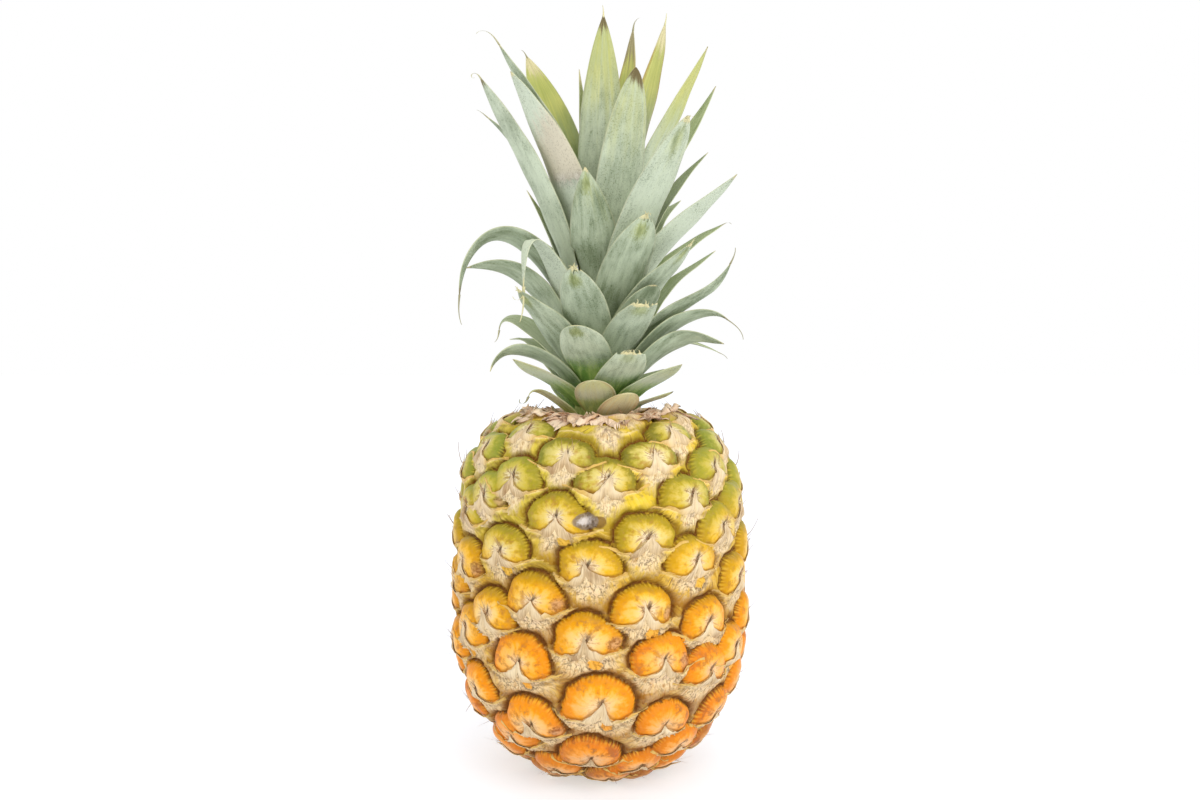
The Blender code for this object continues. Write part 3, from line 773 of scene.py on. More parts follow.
class LeafPattern:
    """Lays the leaves' pattern. What its parts share is kept on it: marks and noise."""

    def __init__(self, finish: LeafFinish) -> None:
        """Reads the marks and makes the shared noise.

        Args:
            finish: the leaves' colours.
        """
        self.finish = finish
        self.g = g = Graph("leaf_skin", Specular_IOR_Level=finish.gloss)
        across, run = g.chart("blade")
        self.side, self.inner, self.pale, seed = (g.mark(name) for name in ("side", "inner", "pale", "seed"))
        place = g.place()
        self.strand = g.noise(g.vector(self.side * 26.0, run * 0.035, seed * 70.0), 1.0, 2.0, 0.6)
        self.stripe = g.noise(g.vector(self.side * 5.0, run * 0.012, seed * 40.0), 1.0, 2.0, 0.5)
        self.frost = g.noise(g.vector(across * 0.45, run * 0.11, seed * 50.0), 1.0, 4.0, 0.60)
        self.scurf = g.noise(g.vector(across * 2.4, run * 1.3, seed * 33.0), 1.0, 3.0, 0.7)
        self.cloud = g.noise(place, 0.07, 2.0)
        self.stipple = g.noise(place, 1.7, 2.0, 0.7)

    def lay_wax(self) -> Wire:
        """Colours the plain leaf: waxy grey-green with scurf, pits and dots, greener on the inner face.

        Returns:
            the colour.
        """
        g, finish, pale = self.g, self.finish, self.pale
        strand, frost, scurf, cloud = self.strand, self.frost, self.scurf, self.cloud
        # pale lifts the wax and the bloom: partly waxy bloom, partly painted light on leaves that stand in more
        # light.
        waxy = (frost - 0.5) * 1.2 + (strand - 0.5) * 0.4 + (cloud - 0.5) * 1.1 + pale * 0.5 + 0.58
        colour = g.mix(waxy.rise(0.0, 1.0), finish.body, finish.wax)
        colour = g.mix(pale * 0.7, colour, finish.bloom)
        colour = g.mix(scurf.rise(0.58, 0.72) * 0.4, colour, finish.scurf)
        colour = g.mix((scurf - (frost - 0.5) * 0.3).fall(0.30, 0.42) * 0.4, colour, finish.pit)
        dotted = self.stipple.fall(0.36, 0.46) * (frost + cloud).fall(0.85, 1.15)
        colour = g.mix(dotted * 0.5, colour, finish.dot)
        face = g.mix(strand.rise(0.3, 0.75) * 0.6, finish.inside, finish.inside_strand)
        return g.mix(self.inner * (1.0 - pale) * 0.6, colour, face)

    def lay_tints(self, colour: Wire) -> Wire:
        """Adds the olive patch, the fresh foot, the lime end, the ashen end, the shade and the tan.

        Args:
            colour: colour of the plain leaf.

        Returns:
            the colour.
        """
        g, finish, side = self.g, self.finish, self.side
        strand, stripe, frost, scurf, cloud = self.strand, self.stripe, self.frost, self.scurf, self.cloud
        spot = g.length((side + 0.1) / 0.55, (g.mark("share") - 0.90) / 0.10) + (scurf - 0.5) * 1.6
        olive = g.mix(frost.rise(0.35, 0.65), finish.olive, finish.olive_frost)
        colour = g.mix((spot + (frost - 0.5)).fall(0.3, 1.3) * g.mark("patch") * 0.8, colour, olive)
        fresh = (g.mark("foot") + (cloud - 0.5) * 0.5 + (scurf - 0.5) * 0.9).rise(0.3, 0.85)
        colour = g.mix(fresh * 0.85, colour, g.mix(frost.rise(0.4, 0.65), finish.foot, finish.foot_frost))
        limy = (g.mark("lime") + (stripe - 0.5) * 0.6 + (frost - 0.5) * 0.4).rise(0.15, 1.0)
        lime = g.mix((strand * 0.6 + cloud * 0.5).rise(0.35, 0.75), finish.yellow, finish.yellow_cloud)
        colour = g.mix(limy * 0.9, colour, lime)
        ashen = (g.mark("ash") + (frost - 0.5) * 0.9 + (strand - 0.5) * 1.4 + side * 0.25).rise(0.3, 0.9)
        ash = g.mix(scurf.fall(0.34, 0.46) * 0.6, finish.ash, finish.ash_fleck)
        colour = g.mix(ashen * 0.8, colour, ash)
        colour = g.mix(g.mark("shade") * 0.7, colour, finish.shadow, "MULTIPLY")
        tan = g.mix(strand.rise(0.3, 0.65), finish.tan, finish.tan_strand)
        return g.mix(g.mark("tan") * (0.6 + stripe * 0.6), colour, tan)

    def material(self) -> bpy.types.Material:
        """Joins the plain leaf, its tints and its wear.

        Returns:
            the finished material.
        """
        g, finish, side = self.g, self.finish, self.side
        strand, stripe, frost, scurf = self.strand, self.stripe, self.frost, self.scurf
        colour = self.lay_tints(self.lay_wax())
        rusty = g.mark("rust") * (abs(side) + (scurf - 0.5) * 0.3 + (stripe - 0.5) * 0.3).rise(0.72, 0.98)
        colour = g.mix(rusty * 0.85, colour, finish.rust)
        dry = (g.mark("dry") + (strand - 0.5) * 1.5 + (scurf - 0.5) * 0.5).rise(0.35, 0.85)
        crisp = (g.mark("crisp") + (strand - 0.5) * 1.2).rise(0.25, 0.85)
        colour = g.mix(dry, colour, g.mix(crisp, finish.straw, finish.brown))
        crumple = g.mark("crease") * (scurf * 0.6 + frost * 0.5).rise(0.4, 0.65)
        colour = g.mix(crumple * 0.8, colour, finish.crumple)
        # Pale margin along the leaf's edges: partly its own pale edge, partly a painted highlight.
        colour = g.mix(abs(side).rise(0.93, 1.0) * 0.4, colour, finish.edge)
        rough = 0.55 + scurf * 0.15 + dry * 0.15 - self.inner * 0.12
        return g.close(colour, rough, strand * 0.16 + stripe * 0.12 + scurf * 0.10 + crumple * 0.3)


@dataclass(frozen=True)
class WoodFinish:
    """Fibrous plant wood with rings on a cut face."""

    name: str
    pale: Colour
    deep: Colour
    pore: Colour = tone(84, 58, 30)

    def material(self) -> bpy.types.Material:
        """Builds the material.

        Returns:
            the finished material.
        """
        g = Graph(f"{self.name}_finish", Specular_IOR_Level=0.3)
        x, y, z = g.split(g.place())
        ring = g.length(x, y)
        speck = g.noise(g.vector(x, y, z * 0.05), 1.4, 3.0, 0.6)
        band = g.noise(g.vector(ring * 0.5, z * 0.02), 1.0, 2.0)
        colour = g.mix((speck * 0.7 + band * 0.5).rise(0.4, 0.8), self.deep, self.pale)
        colour = g.mix(speck.fall(0.25, 0.36) * 0.7, colour, self.pore)
        return g.close(colour, 0.65 + speck * 0.25, speck * 0.4)


# ---------------------------------------- fruit


@dataclass(frozen=True)
class Barrel:
    """Smooth outline under the eyes: two super-ellipse halves, with a hollow on top and a socket below."""

    radius: float = 58.3
    waist: float = 60.0
    rise: float = 88.0
    drop: float = 63.2
    upper_power: float = 4.0
    lower_power: float = 1.95
    hollow_radius: float = 25.0
    hollow_depth: float = 4.6
    seat_radius: float = 13.0
    seat_floor: float = 139.5
    socket_radius: float = 13.2
    socket_depth: float = 6.0

    def radius_at(self, z: Array) -> Array:
        """Radius at height z.

        Args:
            z: heights.

        Returns:
            the radii.
        """
        up = z > self.waist
        t = np.abs(z - self.waist) / np.where(up, self.rise, self.drop)
        power = np.where(up, self.upper_power, self.lower_power)
        return self.radius * np.maximum(0.0, 1.0 - np.minimum(t, 1.0) ** power) ** (1.0 / power)

    def table(self) -> tuple[Array, Array, Array]:
        """Dense radii, heights and arc length from the pole below the base.

        Returns:
            radii, heights and arc lengths.
        """
        a = np.linspace(0.0, 1.0, 4001)
        zs = self.waist - self.drop + (self.drop + self.rise) * (1 - np.cos(np.pi * a)) / 2
        rs = self.radius_at(zs)
        arc = np.concatenate([[0.0], np.cumsum(np.hypot(np.diff(rs), np.diff(zs)))])
        return rs, zs, arc

    def span(self) -> tuple[float, float]:
        """Arc length at the flat base and at the hollow's edge."""
        _, zs, arc = self.table()
        return float(arc[np.searchsorted(zs, 0.0)]), float(arc[-1] - self.hollow_radius)

    def hollow(self) -> list[tuple[float, float]]:
        """Points from the hollow's edge in to the seat.

        Returns:
            radii with their heights.
        """
        rs, zs, arc = self.table()
        rim = self.span()[1]
        edge, top = float(np.interp(rim, arc, rs)), float(np.interp(rim, arc, zs))
        points = []
        for share in (0.93, 0.88, 0.82, 0.74, 0.66):
            dip = self.hollow_depth * float(smooth((1.0 - share) * 2.4))
            points.append((edge * share, top + (1.0 - share) * 2.0 - dip))
        return points + [(self.seat_radius, points[-1][1] - 0.6)]

    def point(self, turn: Array, arc: Array, lift: Array) -> Array:
        """Places in space at an azimuth and arc length, lifted along the outline's normal.

        Args:
            turn: azimuths in radians.
            arc: arc lengths in millimetres.
            lift: heights over the outline.

        Returns:
            (n, 3) places.
        """
        rs, zs, arcs = self.table()
        way_r, way_z = np.gradient(rs, arcs), np.gradient(zs, arcs)
        size = np.hypot(way_r, way_z)
        out = np.interp(arc, arcs, rs) + np.interp(arc, arcs, way_z / size) * lift
        up = np.interp(arc, arcs, zs) - np.interp(arc, arcs, way_r / size) * lift
        return np.stack([out * np.sin(turn), -out * np.cos(turn), up], axis=1)

    def radius_on(self, arc: Array) -> Array:
        """Radius at an arc length."""
        rs, _, arcs = self.table()
        return np.interp(arc, arcs, rs)


# Natural unevenness on the front: eye number to its shift right and up.
EYE_SHIFTS = {
    -13: (6.5, 1.0), 0: (-2.5, 0.5), 3: (2.0, -3.0), 5: (2.0, 4.0), 8: (8.0, 1.0), 11: (1.5, 6.5),
    21: (-7.5, -1.0), 24: (-5.5, -3.0), 29: (0.5, -1.5), 32: (-3.5, -2.0), 34: (-6.5, -2.0),
    37: (3.0, -1.0), 42: (-4.5, -4.0), 45: (5.5, 5.5), 47: (-8.5, -1.0), 50: (-2.0, -1.0),
    53: (3.5, 6.0), 55: (-3.0, -3.0), 58: (0.5, -1.0), 60: (6.5, 3.5), 63: (1.0, -0.5),
    66: (2.0, 2.5), 71: (1.5, 3.5), 76: (-4.0, -3.5), 79: (3.5, 1.5), 84: (-0.5, -4.0),
    89: (8.0, 0.0), 100: (-4.0, 1.0),
}  # fmt: skip
# Places of the spiral that stay empty.
EYES_ABSENT = (-5, 13, 16, 97)
# Eyes that are larger than their neighbours.
EYE_GROWTH = {-13: 1.15, 0: 1.10, 8: 1.15, 21: 1.07, 29: 1.03}
# An eye that shows only its fibrous bract, and the distance that keeps its dome away from every place.
DOMELESS = 92
OUT_OF_REACH = 9.0
# Eyes with a bruised corner, and eyes whose torn bract shows a patch of flesh below the tip.
SCARRED = (0, 11, 24, 29, 37, 42, 47, 68)
TORN_OPEN = (8, 21, 29, 37, 45, 55, 63, 19, 26)


@dataclass
class Zones:
    """What every point of the skin belongs to."""

    near: Array
    dome: Array
    dome_uv: Array
    bract: Array
    bract_uv: Array


@dataclass
class Eyes:
    """One spiral of fruitlets, each a ribbed dome over a papery bract."""

    barrel: Barrel
    first: int = -31
    last: int = 102
    divergence: float = 137.29
    start_turn: float = 98.6
    middle: int = 35
    middle_arc: float = 110.7
    pitch: float = 1.283
    half_width: float = 12.2
    half_height: float = 11.2
    low_height: float = 8.0
    lift: float = -1.0
    relief: float = 3.3
    tip_dent: float = 1.3
    tip_dent_radius: float = 2.6
    bract_half_width: float = 22.0
    bract_half_height: float = 9.0
    bract_drop: float = 6.8
    bract_thickness: float = 2.5
    bract_fade: float = 5.0
    strand_relief: float = 0.16
    strand_pitch: float = 2.6
    furrow_depth: float = 1.7
    furrow_place: float = 1.04
    furrow_width: float = 0.10
    smallest: float = 0.4
    shrinking: float = 0.4
    shift_spread: float = 24.0
    warp_waves: tuple[tuple[float, float], tuple[float, float]] = ((15.0, 0.65), (7.0, 0.22))
    block: int = 12000

    def __post_init__(self) -> None:
        """Works out where the eyes are and how they differ."""
        every = np.arange(self.first, self.last + 1)
        present = ~np.isin(every, EYES_ABSENT)
        index = every[present]
        step = index - self.middle
        turn = np.radians(self.start_turn + step * self.divergence)
        arc = self.middle_arc + self.pitch * step
        known = np.array(sorted(EYE_SHIFTS))
        shift = np.array([EYE_SHIFTS[k] for k in known])
        at = np.searchsorted(index, known)
        apart = (turn[:, None] - turn[at][None] + np.pi) % (2 * np.pi) - np.pi
        away = np.hypot(apart * self.barrel.radius, arc[:, None] - arc[at][None])
        weight = np.exp(-((away / self.shift_spread) ** 2))
        moved = (weight @ shift) / (weight.sum(axis=1, keepdims=True) + 0.5)
        moved[at] = shift
        self.turn = turn + moved[:, 0] / self.barrel.radius
        self.arc = arc + moved[:, 1]
        dice = np.random.RandomState(11)
        self.seed = dice.uniform(0.0, 1.0, len(every))[present]
        self.bulge = self.relief * dice.uniform(0.88, 1.08, len(every))[present]
        self.skew = dice.uniform(-1.0, 1.0, len(every))[present]
        hidden = np.abs((self.turn + np.pi) % (2 * np.pi) - np.pi) > np.pi / 2
        self.growth = np.array([EYE_GROWTH.get(int(k), 1.0) for k in index])
        self.domeless = index == DOMELESS
        self.scar = np.isin(index, SCARRED) | (hidden & (self.seed > 0.75))
        self.open = np.isin(index, TORN_OPEN) | (hidden & (self.seed < 0.25))

    def local(self, turn: Array, arc: Array, radius: Array, eye: Array) -> Array:
        """Place right of and above the tip of a given eye, in nominal millimetres.

        Args:
            turn: azimuths in radians.
            arc: arc lengths in millimetres.
            radius: radii of the barrel there.
            eye: index of the eye that each place belongs to.

        Returns:
            (n, 2) places.
        """
        size = self.size(radius) * self.growth[eye]
        apart = (turn - self.turn[eye] + np.pi) % (2 * np.pi) - np.pi
        return np.stack([apart * radius / size, (arc - self.arc[eye]) / size], axis=1)

    def size(self, radius: Array) -> Array:
        """Size of the eyes where the barrel has this radius."""
        return np.clip(radius / self.barrel.radius, self.smallest, 1.0) ** self.shrinking

    def zones(self, turn: Array, arc: Array, radius: Array) -> Zones:
        """Finds the nearest dome and the covering bract of every point.

        Args:
            turn: azimuths in radians.
            arc: arc lengths in millimetres.
            radius: radii of the barrel there.

        Returns:
            what each point belongs to.
        """
        parts = []
        for low in range(0, len(turn), self.block):
            t, a, r = (part[low : low + self.block, None] for part in (turn, arc, radius))
            size = self.size(r) * self.growth[None]
            u = ((t - self.turn[None] + np.pi) % (2 * np.pi) - np.pi) * r / size
            v = (a - self.arc[None]) / size
            oval = self.oval(u, v) + self.domeless[None] * OUT_OF_REACH
            kite = np.abs(u) / self.bract_half_width + np.abs(v + self.bract_drop) / self.bract_half_height
            parts.append((oval.min(axis=1), oval.argmin(axis=1), kite.argmin(axis=1)))
        near, dome, bract = (np.concatenate(column) for column in zip(*parts))
        dome_uv = self.local(turn, arc, radius, dome)
        bract = np.where(near < 1.0, dome, bract)
        return Zones(near, dome, dome_uv, bract, self.local(turn, arc, radius, bract))

    def oval(self, u: Array, v: Array) -> Array:
        """Distance from a dome's middle, 1 on its rim: round above, squarer below.

        Args:
            u: places right of the eyes' tips.
            v: places above the eyes' tips.

        Returns:
            the distances.
        """
        across, up = np.abs(u) / self.half_width, (v - self.lift) / self.half_height
        down = np.maximum(self.lift - v, 0.0) / self.low_height
        power = np.where(up > 0, 2.15, 3.0)
        return (across**power + np.where(up > 0, np.abs(up), down) ** power) ** (1 / power)

    @staticmethod
    def free_edge(u: Array) -> Array:
        """Height of a bract's free edge at u.

        Args:
            u: places right of the eye's tip.

        Returns:
            the heights.
        """
        side = np.abs(u)
        peak = 0.5 - 4.3 * (1.0 - np.exp(-side / 1.9))
        return peak - 0.9 * smooth((side - 2) / 4) + 2.6 * smooth((side - 7) / 10)

    def warp(self, turn: Array, arc: Array) -> tuple[Array, Array]:
        """Shifts the places a little so that no two domes are alike.

        Args:
            turn: azimuths in radians.
            arc: arc lengths in millimetres.

        Returns:
            the shifted azimuths and arc lengths.
        """
        flat = np.stack([np.sin(turn) * GIRTH, np.cos(turn) * GIRTH, arc], axis=1)
        (broad, wide), (fine, small) = self.warp_waves
        aside = wander(flat, broad, 3) * wide + wander(flat, fine, 5) * small
        up = wander(flat, broad, 4) * wide + wander(flat, fine, 6) * small
        return turn + aside / GIRTH, arc + up

    def skin(self, turn: Array, arc: Array) -> tuple[Array, Array, Array, Zones]:
        """Relief of the skin.

        Args:
            turn: azimuths in radians.
            arc: arc lengths in millimetres.

        Returns:
            height over the barrel, distance to the nearest dome (1 at its rim), furrow strength, and the zones.
        """
        radius = self.barrel.radius_on(arc)
        turn_w, arc_w = self.warp(turn, arc)
        zones = self.zones(turn_w, arc_w, radius)
        near = zones.near
        u, v = zones.dome_uv.T
        middle = np.hypot(u / (self.half_width + 1.5), (v - 2.5) / 9.5)
        dome = self.bulge[zones.dome] * np.maximum(0.0, 1.0 - near**3.0) ** 0.5 * (1.25 - 0.5 * middle**2)
        dent = self.tip_dent * np.exp(-((u / self.tip_dent_radius) ** 2) - ((v - 0.5) / self.tip_dent_radius) ** 2)
        dome -= np.where(near < 1.0, dent, 0.0)
        bu, bv = zones.bract_uv.T
        below = self.free_edge(bu) - bv
        spread = smooth(1.15 - np.abs(bu) / 24.0)
        thick = 0.1 + self.bract_thickness * np.exp(-np.maximum(below, 0.0) / self.bract_fade)
        bract = thick * (0.35 + 0.65 * spread)
        bract += 0.6 * np.exp(-((bu / 2.8) ** 2) - np.maximum(below, 0.0) / 7.0)
        flat = np.stack([bu, bv * 0.25], axis=1)
        bract = bract + self.strand_relief * wander(flat, self.strand_pitch, 9) * smooth(below / 2.0)
        height = np.where(below > 0.0, np.maximum(dome, bract), np.where(near < 1.0, dome, bract * 0.6))
        rim = np.maximum(smooth((v + 1.0) / 3.0), smooth((np.abs(u) - 8.5) / 2.5) * smooth((v + 5.0) / 3.0))
        furrow = np.exp(-(((near - self.furrow_place) / self.furrow_width) ** 2))
        height = height - self.furrow_depth * rim * furrow
        low, high = self.barrel.span()
        fade = smooth((arc - low - 0.5) / 8.0) * smooth((high - arc) / 9.0)
        return height * self.size(radius) * fade, near, rim * fade, zones


# Long hairs at the sides: heading and height of the root, length, rise for each millimetre out.
WHISKERS = (
    (-88, 80, 9, 0.9), (-92, 73, 5, -0.3), (-90, 47, 9, 0.1), (-84, 20, 7, 0.2),
    (-86, 125, 9, 1.2), (-90, 100, 5, 1.5), (-78, 30, 5, -0.4), (-84, 112, 6, 1.0),
    (88, 96, 9, 1.3), (90, 88, 6, 1.0), (85, 125, 6, 1.3), (88, 60, 5, 0.5),
    (84, 35, 5, -0.2), (80, 134, 5, 1.5), (86, 108, 5, 0.8), (-82, 138, 6, 1.4),
)  # fmt: skip


@dataclass
class Fruit:
    """The body of the fruit: knobbly skin, papery bract blades and fine spines."""

    eyes: Eyes
    steps: int = 440
    rings: int = 214
    front_crowding: float = 0.18
    bract_across: int = 26
    bract_down: int = 4
    bract_sheet: float = 0.22
    spine_radius: float = 0.17
    spine_taper: float = 0.75
    whisker_radius: float = 0.2
    whisker_taper: float = 0.85
    whisker_points: int = 7

    def profile(self) -> bmesh.types.BMesh:
        """Half outline from the socket's middle to the seat's middle, as a chain of edges.

        Returns:
            the chain.
        """
        barrel = self.eyes.barrel
        low, high = barrel.span()
        rs, zs, arcs = barrel.table()
        at = np.linspace(low, high, self.rings)
        outline = [(0.0, barrel.socket_depth), (barrel.socket_radius, barrel.socket_depth)]
        outline += [(barrel.socket_radius, 0.0)]
        outline += [(float(np.interp(a, arcs, rs)), max(0.0, float(np.interp(a, arcs, zs)))) for a in at]
        outline += barrel.hollow() + [(barrel.seat_radius - 0.3, barrel.seat_floor), (0.0, barrel.seat_floor)]
        bm = bmesh.new()
        chain = [bm.verts.new((0.0, -r, z)) for r, z in outline]
        for first, second in zip(chain, chain[1:]):
            bm.edges.new((first, second))
        return bm

    def build_skin(self, material: bpy.types.Material) -> bpy.types.Object:
        """Spins the outline, raises the eyes on it and charts each eye.

        Args:
            material: the rind.

        Returns:
            the piece.
        """
        bm = self.profile()
        bmesh.ops.spin(
            bm, geom=bm.verts[:] + bm.edges[:], cent=(0, 0, 0), axis=(0, 0, 1), dvec=(0, 0, 0),
            angle=2 * math.pi, steps=self.steps, use_merge=True, use_duplicate=False,
        )  # fmt: skip
        bmesh.ops.remove_doubles(bm, verts=bm.verts, dist=1e-4)
        bmesh.ops.recalc_face_normals(bm, faces=bm.faces)
        mesh = mesh_from(bm, "fruit_skin", material)
        co = coordinates(mesh)
        radius, turn = np.hypot(co[:, 0], co[:, 1]), np.arctan2(co[:, 0], -co[:, 1])
        turn = turn - self.front_crowding * np.sin(turn)
        barrel = self.eyes.barrel
        rs, zs, arcs = barrel.table()
        lean = np.arctan2(zs - barrel.waist, rs)
        arc = np.interp(np.arctan2(co[:, 2] - barrel.waist, radius), lean, arcs)
        low, high = barrel.span()
        on_skin = (np.abs(barrel.radius_on(arc) - radius) < 0.25) & (arc > low + 0.2) & (arc < high - 0.2)
        height, near, rim, _ = self.eyes.skin(turn, arc)
        moved = np.stack([radius * np.sin(turn), -radius * np.cos(turn), co[:, 2]], axis=1)
        moved[on_skin] = barrel.point(turn[on_skin], arc[on_skin], height[on_skin])
        mesh.vertices.foreach_set("co", (moved * MM).ravel())
        paint(mesh, "near", near)
        paint(mesh, "rim", rim)
        self.chart_eyes(mesh, turn, arc)
        return shown(mesh, "rind", "fruit")

    def chart_eyes(self, mesh: bpy.types.Mesh, turn: Array, arc: Array) -> None:
        """Writes each face's place in its own eye as a UV map, and the eye's seed.

        Args:
            mesh: the skin.
            turn: azimuth of each vertex.
            arc: arc length of each vertex.
        """
        corners = corner_vertices(mesh)
        counts = np.zeros(len(mesh.polygons), int)
        mesh.polygons.foreach_get("loop_total", counts)
        face = np.repeat(np.arange(len(counts)), counts)
        middle = np.stack([
            np.bincount(face, part[corners]) / counts for part in (np.sin(turn), np.cos(turn), arc)
        ])  # fmt: skip
        eyes = self.eyes
        face_turn = np.arctan2(middle[0], middle[1])
        turn_w, arc_w = eyes.warp(face_turn, middle[2])
        owner = eyes.zones(turn_w, arc_w, eyes.barrel.radius_on(middle[2])).bract
        turn_w, arc_w = eyes.warp(turn, arc)
        radius = eyes.barrel.radius_on(arc)
        chart(mesh, "eye", eyes.local(turn_w[corners], arc_w[corners], radius[corners], owner[face]))
        for name, values in (("seed", eyes.seed), ("scar", eyes.scar), ("open", eyes.open)):
            layer = mesh.attributes.new(name, "FLOAT", "FACE")
            layer.data.foreach_set("value", values[owner].astype(np.float32))

    def build_bracts(self, material: bpy.types.Material) -> bpy.types.Object:
        """Papery free edges: one thin curled blade over the lower rim of each dome.

        Args:
            material: the dry husk.

        Returns:
            the piece.
        """
        eyes, barrel = self.eyes, self.eyes.barrel
        low, high = barrel.span()
        bm = bmesh.new()
        charts, seeds, thins, places = [], [], [], []
        for eye, (turn0, arc0, skew, seed) in enumerate(zip(eyes.turn, eyes.arc, eyes.skew, eyes.seed)):
            if not low + 9.0 < arc0 < high - 2.0 or eyes.domeless[eye]:
                continue
            made = bmesh.ops.create_grid(
                bm, x_segments=self.bract_across, y_segments=self.bract_down, size=1.0
            )["verts"]  # fmt: skip
            x = np.array([v.co.x for v in made])
            t = (1.0 - np.array([v.co.y for v in made])) / 2.0
            u = x * np.abs(x) ** 0.5 * (15.5 + 2.0 * skew)
            tongue = (0.5 + 2.2 * seed) * np.maximum(0.0, 1.0 - np.abs(u) / 2.6) ** 1.5
            ragged = 0.45 * wander(np.stack([u, np.full_like(u, eye * 9.0)], axis=1), 3.2, 21)
            depth = 0.9 + 4.2 * (1.0 - np.minimum(np.abs(u) / 7.0, 1.0) ** 2)
            v = eyes.free_edge(u) + (ragged + tongue) * (1.0 - t) - t * depth
            u = u + skew * 0.8 * tongue * (1.0 - t)
            size = float(eyes.size(barrel.radius_on(np.array([arc0])))[0]) * eyes.growth[eye]
            arc = np.clip(arc0 + v * size, low + 1.0, high - 0.5)
            turn = turn0 + u * size / barrel.radius_on(arc)
            turn_w, arc_w = eyes.warp(turn, arc)
            turn_b, arc_b = 2 * turn - turn_w, 2 * arc - arc_w
            bed, _, _, _ = eyes.skin(turn_b, arc_b)
            stand = (1.0 - t) ** 1.4 * (1.0 - np.abs(x) ** 3)
            lift = bed + stand * (0.55 + 0.3 * np.abs(skew) + 0.28 * tongue) - 0.25 * smooth(t * 2 - 1)
            places.append(barrel.point(turn_b, arc_b, lift))
            charts.append(np.stack([u, v], axis=1))
            seeds.append(np.full(len(u), seed))
            thins.append(1.0 - t)
        mesh = mesh_from(bm, "bract_blades", material)
        marks = {"seed": np.concatenate(seeds), "thin": np.concatenate(thins)}
        lay_out(mesh, np.concatenate(places), "eye", np.concatenate(charts), marks)
        made = shown(mesh, "dry_bract")
        thicken(made, self.bract_sheet)
        return made

    def build_spines(self, material: bpy.types.Material) -> bpy.types.Object:
        """Fine dry points that stand off the bract tips.

        Args:
            material: the dry husk.

        Returns:
            the piece.
        """
        eyes, barrel = self.eyes, self.eyes.barrel
        low, high = barrel.span()
        dice = np.random.RandomState(5)
        bm = bmesh.new()
        for turn0, arc0, skew, seed in zip(eyes.turn, eyes.arc, eyes.skew, eyes.seed):
            for _ in range(6 if seed > 0.5 else 3):
                if not low + 6.0 < arc0 < high:
                    continue
                turn = turn0 + dice.normal(0.0, 1.2) / GIRTH
                arc = arc0 + dice.uniform(-0.5, 2.0)
                length = dice.uniform(1.5, 6.5)
                side, out = skew * 0.5 + dice.normal(0.0, 0.35), dice.uniform(0.25, 0.8)
                share = np.linspace(0.0, 1.0, 5)
                bed = float(eyes.skin(np.array([turn]), np.array([arc]))[0][0])
                path = barrel.point(
                    turn + side * length * share**1.5 / GIRTH,
                    np.minimum(arc + length * share * 0.8, high + 6.0),
                    bed - 0.2 + out * length * share,
                )
                tube(bm, path, self.spine_radius, self.spine_taper)
        _, zs, arcs = barrel.table()
        for heading, height, length, rise in WHISKERS:
            turn, arc = np.array([math.radians(heading)]), np.interp([height], zs, arcs)
            bed = float(eyes.skin(turn, arc)[0][0])
            share = np.linspace(0.0, 1.0, self.whisker_points)
            out = length / math.hypot(1.0, rise)
            up = np.repeat(arc, self.whisker_points) + out * rise * share**1.4
            path = barrel.point(np.repeat(turn, self.whisker_points), up, bed - 0.2 + out * share)
            tube(bm, path, self.whisker_radius, self.whisker_taper)
        bmesh.ops.recalc_face_normals(bm, faces=bm.faces)
        mesh = mesh_from(bm, "bract_spines", material)
        places = coordinates(mesh)
        lay_out(mesh, places, "eye", places[:, :2] * 0.0, {"seed": 0.4, "thin": 0.3, "burn": 1.0})
        return shown(mesh, "dry_bract")


# ---------------------------------------- collar


@dataclass(frozen=True)
class Scrap:
    """A torn bract of the collar.

    Its heading in degrees, foot radius, length and width, how high its end stands, how far the end rolls back, the
    sideways drift of its end, and its brownness.
    """

    turn: float
    foot: float
    length: float
    width: float
    lift: float
    roll: float = 0.0
    drift: float = 0.0
    burn: float = 0.0


SCRAPS = (
    Scrap(-12, 27, 14, 11, 2.2, 2.0, -1.5), Scrap(-2, 27, 13, 8, 0.6, 0.0, 1.0),
    Scrap(7, 27, 14, 9, 1.0, 1.0, 2.0, 0.2), Scrap(16, 27, 11, 8, 0.8, 1.5, -1.0, 0.3),
    Scrap(27, 25, 12, 11, 1.0, 1.0, 2.0, 0.2),
    Scrap(-25, 24, 12, 10, 1.4, 1.5, 2.0, 0.6), Scrap(-36, 24, 12, 8, 1.6, 1.0, -1.0, 0.4),
    Scrap(-46, 23, 14, 11, 2.6, 2.5, -2.0, 0.0), Scrap(-60, 23, 13, 9, 4.2, 3.0, 1.0, 0.1),
    Scrap(-78, 24, 12, 9, 2.5, 1.0, 2.0, 0.4), Scrap(38, 24, 13, 10, 2.2, 1.5, 2.0, 0.0),
    Scrap(50, 23, 14, 12, 4.0, 2.0, 1.0, 0.0), Scrap(64, 23, 14, 10, 3.6, 2.5, 2.0, 0.2),
    Scrap(78, 24, 14, 9, 2.6, 1.0, -2.0, 0.5), Scrap(-16, 29, 9, 6, 1.4, 2.0, 2.0, 0.5),
    Scrap(34, 28, 9, 6, 1.6, 1.0, -2.0, 0.5), Scrap(2, 30, 8, 5, 1.0, 0.5, -2.0, 0.1),
)  # fmt: skip


